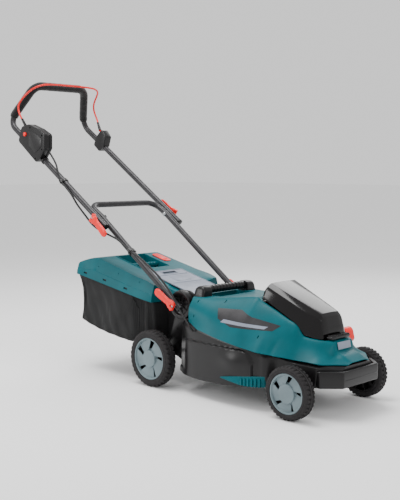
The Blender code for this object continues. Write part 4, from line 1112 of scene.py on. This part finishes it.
BOX_LID = (  # x, the middle's z, then y and z of the crease and the hem
    (-0.3345, 0.354, 0.148, 0.354, 0.157, 0.3228),
    (-0.3335, 0.358, 0.152, 0.359, 0.16, 0.323),
    (-0.327, 0.362, 0.1535, 0.3635, 0.1615, 0.3225),
    (-0.241, 0.384, 0.14, 0.383, 0.165, 0.31),
    (-0.22, 0.3785, 0.1405, 0.378, 0.165, 0.3063),
    (-0.15, 0.3604, 0.142, 0.3615, 0.165, 0.294),
    (-0.11, 0.35, 0.143, 0.352, 0.165, 0.287),
    (-0.061, 0.336, 0.145, 0.34, 0.165, 0.2785),
    (0.04, 0.3105, 0.146, 0.315, 0.159, 0.261),
    (0.046, 0.309, 0.098, 0.309, 0.104, 0.26),
    (0.1, 0.2945, 0.098, 0.293, 0.104, 0.25),
)


def box_lid_row(x, middle_z, crease_y, crease_z, hem_y, hem_z):
    """Half a section: the crowned top out to the crease, then the side down to a ledge and the hem."""
    row = []
    for share in (0, 0.2, 0.4, 0.6, 0.8, 0.95):
        row.append((x, crease_y * share, middle_z + (crease_z - middle_z) * share ** 2))
    for share in (0.02, 0.08, 0.25, 0.42, 0.58, 0.6, 0.8, 1.0):
        ledge = 0.0012 if 0.59 < share else 0.0
        bulge = 0.002 * math.sin(math.pi * share)
        y = crease_y + (hem_y - crease_y) * share + bulge + ledge - 0.0012
        row.append((x, y, crease_z + (hem_z - crease_z) * share))
    return row


def box_lid():
    rows = [box_lid_row(*section) for section in through(BOX_LID, stations(BOX_LID, 0.006))]
    rear = [(x, y, 0.3225) for x, y, _ in rows[0]]
    front = [(x + 0.0012, y, 0.25) for x, y, _ in rows[-1]]
    lid = thicken(surface("box_lid_shell", mirrored_rows([rear, *rows, front]), "cover_teal"), SHELL)
    block = prism("block", [(-0.241, 0.383), (-0.106, 0.348), (-0.106, 0.318), (-0.241, 0.33)], -0.066, 0.066)
    carve(lid, block, operation="UNION")
    carve(lid, soften(box("hollow", (-0.237, -0.062, 0.334), (-0.11, 0.062, 0.42)), 0.006, segments=3))
    clips = box_clips(lid)
    ribs = []
    for k in range(9):
        y = -0.052 + 0.013 * k
        ribs.append(soften(box("grip_rib", (-0.185, y - 0.0018, 0.3452), (-0.159, y + 0.0018, 0.3607)),
                           0.0012))
    bar = soften(box("grab_bar", (-0.184, -0.064, 0.346), (-0.16, 0.064, 0.36)), 0.0055, segments=4)
    rims = []
    slope = math.atan2(0.033, 0.131)
    for side in SIDES.values():
        y = side * 0.0645
        rim = box("rim", (-0.24, y - 0.0014, 0.3655), (-0.108, y + 0.0014, 0.369), turn=slope)
        rims.append(soften(rim, 0.0009))
    merge(lid, bar, *ribs, *rims)
    settle(lid, "grass_box", "grass_box_lid", degrees=30)
    for clip in clips:
        settle(clip, "grass_box")


def box_clips(lid):
    """Cuts the slots and pin holes along the lid's sides, and makes the clips behind the slots, whose black
    is painted shade that darkens the slots.
    """
    slope = 0.17
    clips = []
    for k, x in enumerate((-0.285, -0.185, -0.08)):
        z = float(np.interp(x, [row[0] for row in BOX_LID], [row[5] for row in BOX_LID])) + 0.0135
        for name, side in SIDES.items():
            low, high = span(side, 0.14, 0.18)
            carve(
                lid,
                box("clip_slot", (x - 0.0085, low, z - 0.0028), (x + 0.0085, high, z + 0.0028), turn=slope),
                box("vent_pin", (x + 0.055, low, z + 0.023), (x + 0.058, high, z + 0.026)),
            )
            low, high = span(side, 0.149, 0.1592)
            # Painted shade: the clips are black so that the slots in the lid's sides read dark.
            clip = box(f"box_clip_{name}_{k}", (x - 0.011, low, z - 0.0052), (x + 0.011, high, z + 0.0052),
                       "deck_black", turn=slope)
            clips.append(soften(clip, 0.001))
    return clips


BAG = (  # x, half the width, then the floor's and the rim's height
    (-0.33, 0.1525, 0.169, 0.319),
    (-0.31, 0.156, 0.1625, 0.318),
    (-0.24, 0.158, 0.1445, 0.306),
    (-0.15, 0.1595, 0.13, 0.291),
    (-0.055, 0.159, 0.1215, 0.274),
    (-0.03, 0.15, 0.1225, 0.27),
    (0.038, 0.138, 0.129, 0.258),
    (0.048, 0.095, 0.136, 0.256),
    (0.098, 0.095, 0.136, 0.2465),
)
BAG_REAR = (  # level, 0 at the rim and 1 at the floor, and the rear wall's x
    (0.0, -0.328), (0.08, -0.318), (0.25, -0.307), (0.5, -0.304), (0.72, -0.306), (0.9, -0.313),
    (1.0, -0.317),
)
BAG_CORNER = 0.009
CORNER_STEPS, REAR_STEPS = 6, 14
FLOOR_SEAM = 0.95


def bag_wrinkle(along, level):
    """How far the cloth stands out there: long sags from rim to floor, with finer creases near the seams."""
    sag = -0.0042 * math.sin(math.pi * level) * (0.6 + 0.4 * math.sin(19 * along + 1.0))
    folds = 0.0016 * math.sin(46 * along + 3.0 * level) * math.sin(math.pi * level)
    creases = 0.0011 * math.sin(120 * along - 9.0 * level) * (0.25 + level * level)
    return sag + folds + creases


def bag_outline(level):
    """The bag's left half at one level: from the mouth back to the middle of its rear."""
    rear = float(np.interp(level, [p[0] for p in BAG_REAR], [p[1] for p in BAG_REAR]))
    points = []
    for x in stations(BAG, 0.008)[::-1]:
        if x < rear + BAG_CORNER:
            continue
        half, floor, rim = through(BAG, [x])[0][1:]
        pleat = 0.003 * math.sin(x * 520) * smooth_step(x, -0.03, -0.01) * (1 - smooth_step(x, 0.034, 0.04))
        points.append((x, half + bag_wrinkle(x, level) + pleat, rim + (floor - rim) * level))
    half, floor, rim = through(BAG, [rear + BAG_CORNER])[0][1:]
    z = rim + (floor - rim) * level
    for k in range(1, CORNER_STEPS):
        turn = math.pi / 2 * k / CORNER_STEPS
        points.append((rear + BAG_CORNER * (1 - math.sin(turn)), half - BAG_CORNER * (1 - math.cos(turn)), z))
    for k in range(1, REAR_STEPS + 1):
        y = (half - BAG_CORNER) * (1 - k / REAR_STEPS)
        points.append((rear + 0.6 * bag_wrinkle(y + 0.7, level) * (1 if k < REAR_STEPS else 0.6), y, z))
    return points


def bag_rows(levels):
    """The bag's left half, row by row from the rim to the hem and on to the middle of its floor."""
    outlines = [bag_outline(level) for level in levels]
    count = min(len(outline) for outline in outlines)
    rows = []
    for level, outline in zip(levels, outlines):
        tuck = 0.006 * max(0.0, (level - 0.92) / 0.07) ** 2
        row = []
        for i, (x, y, z) in enumerate(outline[-count:]):
            inwards = 0.5 * tuck if i > count - REAR_STEPS - 2 else 0
            row.append((x + inwards, max(y - tuck, 0.0), z))
        rows.append(row)
    hem = rows[-1]
    for share in (0.86, 0.6, 0.35, 0.15, 0.0):
        drop = 0.0035 * (1 - share ** 2)
        rows.append([
            (x, y * share, z - 0.0015 - drop * math.sin(math.pi * np.clip((x + 0.31) / 0.4, 0, 1)))
            for x, y, z in hem
        ])
    return rows


def piping(name, path, radius):
    settle(sweep(name, flowing(path, 2), radius, "bag_fabric", sides=8), "grass_box")


def grass_bag():
    """A sewn bag: soft sides that sag between the lid and the floor, with piping along its seams."""
    levels = [0.0, 0.03, 0.07, *[0.07 + 0.85 * k / 15 for k in range(1, 16)], FLOOR_SEAM, 0.975, 0.99]
    rows = bag_rows(levels)
    bag = surface("bag_cloth", rows, "bag_fabric")
    other_half = put("right", bag.data.copy(), None)
    other_half.data.transform(Matrix.Diagonal((1, -1, 1, 1)))
    other_half.data.flip_normals()
    merge(bag, other_half)
    bm = bmesh.new()
    bm.from_mesh(bag.data)
    bmesh.ops.remove_doubles(bm, verts=bm.verts, dist=2e-5)
    bmesh.ops.recalc_face_normals(bm, faces=bm.faces)
    bm.to_mesh(bag.data)
    bm.free()
    thicken(bag, 0.0018)
    settle(bag, "grass_box", "grass_bag", degrees=60)

    seam_row = levels.index(FLOOR_SEAM)
    floor_seam = both_sides([(x, -y - 0.0006, z) for x, y, z in rows[seam_row]])
    piping("bag_floor_piping", floor_seam[::2], 0.0017)
    corner = len(rows[0]) - REAR_STEPS - 3
    middle = int(np.argmin([abs(p[0] + 0.052) for p in rows[0]]))
    for name, side in SIDES.items():
        for part, index, back, out, radius in (
            ("corner", corner, 0.0006, 0.0004, 0.0016), ("side", middle, 0.0, 0.0003, 0.0014),
        ):
            points = [row[index] for row in rows[:seam_row + 1]]
            seam = [(x - back, side * (y + out), z) for x, y, z in points]
            piping(f"bag_{part}_piping_{name}", seam, radius)


def level_indicator():
    """The red flap in the lid: a rounded plate with a finger rib."""
    tilt = Matrix.Translation((-0.185, 0.102, 0.3718)) @ Matrix.Rotation(math.radians(14.5), 4, "Y")
    outline = [(0.0375 * x, 0.0178 * y) for x, y in (squarish(math.tau * k / 48, 0.5) for k in range(48))]
    flap = soften(prism("indicator_flap", outline, -0.0012, 0.001, "control_red", plane="XY"), 0.0006)
    ribs = []
    for k in range(3):
        x = 0.018 + 0.005 * k
        ribs.append(soften(box("rib", (x, -0.01, 0.0008), (x + 0.0015, 0.01, 0.0018)), 0.0004))
    merge(flap, *ribs)
    flap.data.transform(tilt)
    settle(flap, "level_indicator_body", "level_indicator")


# ---------------------------------------------------------------- handle

def steel_tube(name, path, radius, *holes):
    """A bent steel tube with open ends, and a bolt hole at each of the (x, z) places."""
    tube = give_wall(sweep(name, path, radius, "tube_paint", sides=36, caps=False), 0.0014)
    for place in holes:
        carve(tube, disc("bolt_hole", 0.0036, at(place, -0.2), (0, 1, 0), 0.4, steps=20))
    return tube


def lower_handle():
    half = [at(LOWER_END, -LOWER_Y), at(UPPER_PIVOT, -LOWER_Y), at(CROSSBAR, -LOWER_Y)]
    path = rounded(both_sides(half), TUBE_BEND, steps=10, closed=False)
    tube = steel_tube("lower_tube", path, LOWER_TUBE, LOWER_PIVOT, UPPER_PIVOT)
    settle(tube, "lower_frame", "lower_handle", degrees=40)


def upper_path():
    half = [at(UPPER_END, -UPPER_Y), at(HANDLE_BEND, -UPPER_Y), at(GRIP_BAR, -GRIP_BAR_Y)]
    return rounded(both_sides(half), TUBE_BEND, steps=10, closed=False)


def upper_handle():
    path = upper_path()
    tube = steel_tube("upper_tube", path, UPPER_TUBE, UPPER_PIVOT)
    settle(tube, "upper_frame", "upper_handle", degrees=40)
    profile = [(0, -0.0024), (0.008, -0.0022), (0.0108, -0.0008), (0.0112, 0.0006), (0.0112, 0.005),
               (0.0106, 0.0056), (0.0106, 0.003), (0, 0.003)]
    for name, end, inward in (("right", path[0], path[1]), ("left", path[-1], path[-2])):
        along = (inward - end).normalized()
        settle(lathe(f"tube_cap_{name}", profile, end, along, "deck_black", closed=False), "upper_frame")


def foam_grip():
    """A foam sleeve round the grip bar, slightly uneven, with a soft roll at each end."""
    path = upper_path()[8:-8]
    total = sum((b - a).length for a, b in zip(path, path[1:]))
    roll_length = 0.006
    dense = []
    for a, b in zip(path, path[1:]):
        count = max(1, int((b - a).length / 0.003))
        dense += [a.lerp(b, k / count) for k in range(count)]
    dense.append(path[-1])

    def swollen(travelled):
        edge = min(travelled, total - travelled)
        roll = 0.0014 * math.sqrt(1 - edge / roll_length) if edge < roll_length else 0.0
        return GRIP_RADIUS - 0.0004 - roll + 0.00025 * math.sin(travelled * 210) * math.sin(travelled * 57)

    grip = sweep("foam_sleeve", dense, swollen, "grip_foam", sides=36, caps=False)
    give_wall(grip, GRIP_RADIUS - 0.0122)
    settle(grip, "upper_frame", "foam_grip", degrees=50)


def pivot_bolts():
    for name, side in SIDES.items():
        for level, pivot, head_y, end_y in (
            ("lower", LOWER_PIVOT, 0.105, 0.1614), ("upper", UPPER_PIVOT, 0.137, 0.1844),
        ):
            length = end_y - head_y
            dome = [(0.0078 * math.cos(a), -0.0008 - 0.0034 * math.sin(a)) for a in np.linspace(0,
                                                                                                math.pi / 2,
                                                                                                7)]
            profile = [(0, length), (0.0026, length), (0.003, length - 0.0006), (0.003, 0.0), (0.0078, 0.0),
                       *dome[:-1], (0, -0.0042)]
            bolt = lathe(f"coach_bolt_{level}_{name}", profile, at(pivot, side * head_y), (0, side, 0),
                         "bright_steel", closed=False)
            settle(bolt, f"{level}_frame", f"{level}_bolt_{name}")


LEVER = (  # distance from the pivot, half the width, and the heights above the lever's inner face
    (-0.005, 0.013, 0.0015, 0.0085), (0.0, 0.015, 0.0003, 0.0122), (0.012, 0.0148, 0.0003, 0.0125),
    (0.018, 0.0125, 0.0012, 0.0116), (0.026, 0.0108, 0.002, 0.01), (0.04, 0.0112, 0.0022, 0.0098),
    (0.06, 0.0124, 0.0022, 0.0104), (0.074, 0.0126, 0.0022, 0.0108), (0.082, 0.0104, 0.0024, 0.0104),
    (0.086, 0.0068, 0.003, 0.0096), (0.0878, 0.0024, 0.0045, 0.0078),
)
LEVER_THICKNESS = 0.0125
LEVER_BARREL_HALF = 0.016


def clamp_lever(name, pivot, side, inner_y, degrees):
    """A red cam lever: a slotted barrel across the bolt's end with a steel nut in it, and a rounded tail."""
    ahead = math.radians(degrees)
    along = Vector((math.cos(ahead), 0, math.sin(ahead)))
    across = Vector((math.cos(ahead + math.pi / 2), 0, math.sin(ahead + math.pi / 2)))
    rings = []
    for distance, half, low, high in through(LEVER, stations(LEVER, 0.0025)):
        centre, reach = (low + high) / 2, (high - low) / 2
        ring = []
        for k in range(24):
            flat, tall = squarish(math.tau * k / 24, 0.55)
            y = side * (inner_y + centre + reach * tall)
            ring.append(Vector(at(pivot, y)) + along * distance + across * half * flat)
        rings.append(ring)
    tail = surface(f"clamp_{name}", rings, "control_red", wrap=True, caps=True)

    radius, length = LEVER_THICKNESS / 2, 2 * LEVER_BARREL_HALF
    middle = Vector(at(pivot, side * (inner_y + radius)))
    profile = [(0, 0), (radius - 0.0008, 0), (radius, 0.0008), (radius, length - 0.0008),
               (radius - 0.0008, length),
               (0, length)]
    start = middle - across * LEVER_BARREL_HALF
    carve(tail, lathe("barrel", profile, start, across, steps=40, closed=False), operation="UNION")
    axes = Matrix((along, across, Vector((0, side, 0)))).transposed().to_4x4()
    slot = box("bolt_slot", (-0.02, -0.004, -0.0005), (0.007, 0.004, 0.02))
    waist = box("waist", (-0.02, 0.0128, -0.02), (-0.0012, 0.02, 0.02))
    nut = box(f"clamp_{name}_nut", (-0.0042, -0.0034, -0.0004), (0.0046, 0.0034, 0.0038), "bright_steel")
    soften(nut, 0.0005)
    for piece in (slot, waist, nut):
        piece.data.transform(Matrix.Translation(middle) @ axes)
        if axes.determinant() < 0:
            piece.data.flip_normals()
    carve(tail, slot, waist)
    level, end = name.split("_")
    body = f"{level}_lever_{end}_body"
    settle(tail, body, f"{level}_lever_{end}")
    settle(nut, body)


def clamp_levers():
    for name, side in SIDES.items():
        clamp_lever(f"lower_{name}", LOWER_PIVOT, side, 0.162, 151)
        clamp_lever(f"upper_{name}", UPPER_PIVOT, side, 0.185, -40 if name == "right" else 150)


def down_tube(side, distance):
    """The point that far down the upper tube from its top bend, and the tube's direction there."""
    start, end = Vector(at(HANDLE_BEND, side * UPPER_Y)), Vector(at(UPPER_END, side * UPPER_Y))
    along = (end - start).normalized()
    return start + along * distance, along


def tube_channel(side):
    """The cutter for a clamp that closes round the upper tube."""
    start, along = down_tube(side, 0.03)
    return disc("channel", UPPER_TUBE + 0.0005, start, along, 0.45, steps=40)


def switch_box():
    """Two moulded halves that close round the right tube, with a parting line, screw wells and a collar
    below.
    """
    outline = [(-0.6, 0.834), (-0.561, 0.841), (-0.508, 0.824), (-0.464, 0.803), (-0.465, 0.753),
               (-0.495, 0.719), (-0.516, 0.705), (-0.622, 0.782), (-0.612, 0.812)]
    facet = rounded([(-0.556, 0.82), (-0.515, 0.808), (-0.482, 0.788), (-0.482, 0.76),
                     (-0.518, 0.738), (-0.556, 0.766)], 0.006)
    for name, low, high in (("outer", -0.193, -0.17135), ("inner", -0.17065, -0.157)):
        half = prism(f"switch_case_{name}", rounded(outline, 0.012, steps=6), low, high, "deck_black")
        soften(half, 0.0034, segments=4, degrees=50)
        carve(half, tube_channel(-1), box("bail_slot", (-0.6165, -0.1765, 0.795), (-0.574, -0.1655, 0.86)))
        if name == "outer":
            carve(half, disc("bail_bore", 0.0042, at(BAIL_PIVOT, -0.1822), (0, 1, 0), 0.0142))
            carve(half, disc("button_well", 0.008, at(LOCK_BUTTON, -0.1838), (0, -1, 0), 0.02))
            for place in ((-0.548, 0.829), (-0.479, 0.799), (-0.52, 0.719), (-0.48, 0.75)):
                carve(half, disc("screw_well", 0.0032, at(place, -0.189), (0, -1, 0), 0.01, steps=20))
            merge(half, soften(prism("panel", facet, -0.194, -0.1925), 0.0006))
        settle(half, "upper_frame", f"switch_box_{name}", degrees=40)
    profile = [(0.011, 0.0), (0.0125, 0.0), (0.014, 0.0015), (0.014, 0.0085), (0.0125, 0.01), (0.011, 0.01)]
    settle(lathe("switch_collar", profile, *down_tube(-1, 0.252), "deck_black"), "upper_frame")


def bail_bracket():
    outline = [(-0.576, 0.834), (-0.552, 0.806), (-0.564, 0.769), (-0.592, 0.75), (-0.625, 0.776),
               (-0.608, 0.808)]
    bracket = prism("bail_clamp", rounded(outline, 0.008, steps=5), 0.157, 0.188, "deck_black")
    soften(bracket, 0.003, segments=3, degrees=50)
    carve(bracket, tube_channel(1), box("bail_slot", (-0.632, 0.1655, 0.795), (-0.574, 0.1765, 0.86)))
    carve(bracket, disc("bail_bore", 0.0042, at(BAIL_PIVOT, 0.168), (0, 1, 0), 0.018))
    settle(bracket, "upper_frame", "bail_bracket", degrees=40)


def lock_button():
    dome = [(0.0072 * math.cos(a), 0.0078 + 0.0022 * math.sin(a)) for a in np.linspace(0, math.pi / 2, 8)]
    profile = [(0, 0), (0.0072, 0.0), *dome[:-1], (0, 0.01)]
    button = lathe("lock_off_button", profile, at(LOCK_BUTTON, -0.1884), (0, -1, 0), "control_red",
                   closed=False)
    settle(button, "lock_button_body", "lock_button")


BAIL_FOOT = (-0.6, -0.171, 0.831)
BAIL_ROUTE = (
    BAIL_FOOT, (-0.606, -0.1718, 0.842), (-0.624, -0.1778, 0.87), (-0.6365, -0.1778, 0.892),
    (-0.6415, -0.175, 0.911), (-0.635, -0.169, 0.929), (-0.62, -0.163, 0.945), (-0.601, -0.156, 0.96),
    (-0.5832, -0.1464, 0.972), (-0.572, -0.133, 0.9795), (-0.567, -0.115, 0.9845), (-0.57, -0.075, 0.988),
    (-0.575, -0.02, 0.9895), (-0.5755, 0.0, 0.9896),
)


def bail():
    """The bar that starts the motor, in red paint, with a black sleeve on each end."""
    hook = rounded([at(BAIL_PIVOT, -0.1815), at(BAIL_PIVOT, -0.171), BAIL_FOOT], 0.006, steps=6, closed=False)
    half = [*hook[:-1], *flowing(BAIL_ROUTE, 5)]
    path = [*half, *[Vector((p.x, -p.y, p.z)) for p in reversed(half[:-1])]]
    settle(sweep("bail_bar", path, BAIL_RADIUS, "bail_paint", sides=18), "bail_body", "bail", degrees=50)

    def ridged(travelled):
        return 0.0062 - 0.001 * math.sin(travelled * 420) ** 2 - 0.04 * travelled

    for name, side in SIDES.items():
        start, end = Vector((-0.6, side * 0.171, 0.831)), Vector((-0.619, side * 0.1756, 0.862))
        path = [start.lerp(end, k / 8) for k in range(9)]
        settle(sweep(f"bail_sleeve_{name}", path, ridged, "deck_black", sides=20), "bail_body")


# ---------------------------------------------------------------- cable

CABLE_ROUTE = (
    (-0.469, -0.171, 0.744), (-0.448, -0.171, 0.723), (-0.424, -0.174, 0.698), (-0.402, -0.182, 0.668),
    (-0.38, -0.187, 0.64), (-0.356, -0.187, 0.622), (-0.325, -0.186, 0.596), (-0.3, -0.182, 0.564),
    (-0.265, -0.176, 0.528), (-0.228, -0.1755, 0.4985), (-0.19, -0.176, 0.481), (-0.15, -0.172, 0.468),
    (-0.106, -0.167, 0.452), (-0.056, -0.163, 0.42), (-0.01, -0.1665, 0.404), (0.046, -0.168, 0.374),
    (0.09, -0.168, 0.346), (0.14, -0.169, 0.302), (0.173, -0.171, 0.264), (0.203, -0.174, 0.234),
    (0.223, -0.1775, 0.218), (0.235, -0.1785, 0.206), (0.24, -0.172, 0.196),
)
CABLE_RUNS = (  # the node, its first and last points on the route, and the bodies that it rides on
    ("cable_upper", 0, 6, ("upper_frame",)), ("cable_upper_bend", 6, 12, ("upper_frame", "lower_frame")),
    ("cable_lower", 12, 16, ("lower_frame",)), ("cable_lower_bend", 16, 22, ("lower_frame", "mower_body")),
)
CABLE_STEPS = 12


def cable():
    """The cable in four runs. A bend that crosses a fold is left where it is, on no body."""
    route = flowing(CABLE_ROUTE, CABLE_STEPS)

    def ringed(travelled):
        return CABLE_RADIUS - 0.00055 * (0.5 + 0.5 * math.sin(travelled * math.tau / 0.0042))

    for name, first, last, bodies in CABLE_RUNS:
        path = route[first * CABLE_STEPS:last * CABLE_STEPS + 1]
        radius = CABLE_RADIUS
        if name == "cable_lower_bend":
            radius = ringed
            path = [*[a.lerp(b, k / 3) for a, b in zip(path, path[1:]) for k in range(3)], path[-1]]
        run = sweep(f"{name}_sheath", path, radius, "cable_sheath", sides=14)
        if len(bodies) == 1:
            settle(run, *bodies, name, degrees=50)
            continue
        to_frame(run, 50)
        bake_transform(run)
        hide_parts(name)


# ---------------------------------------------------------------- the whole

KEPT_NODES = (  # node, finish and the width of its rounded edges
    ("battery_tray", "deck_black", 0.0006), ("motor_housing", "deck_black", 0.001),
    ("motor_controller", "deck_black", 0.0), ("motor_rotor", "bright_steel", 0.0),
    ("blade_fan", "deck_black", 0.0006), ("blade", "blade_steel", 0.0005),
    ("blade_bolt", "bright_steel", 0.0005),
    ("flap_rod", "bright_steel", 0.0), ("front_axle", "bright_steel", 0.0004),
    ("rear_axle", "bright_steel", 0.0004), ("height_link", "bright_steel", 0.0004),
    ("safety_key", "control_red", 0.0), ("battery_pack_right", "deck_black", 0.0),
    ("battery_pack_left", "deck_black", 0.0), ("bag_frame", "bright_steel", 0.0),
    ("cable_clip_upper", "deck_black", 0.0004), ("cable_clip_lower", "deck_black", 0.0004),
)


def build():
    for make in (
        wheels, deck_housing, deck_cover, front_bumper, carry_handle, handle_brackets, grass_combs,
        discharge_flap,
        battery_lid, lid_latch, height_lever, box_lid, grass_bag, level_indicator, lower_handle, upper_handle,
        foam_grip, pivot_bolts, clamp_levers, switch_box, bail_bracket, lock_button, bail, cable,
    ):
        make()
    for name, slot, bevel in KEPT_NODES:
        keep_node(name, slot, bevel)


add_camera()
add_stage()
make_finishes()
build()
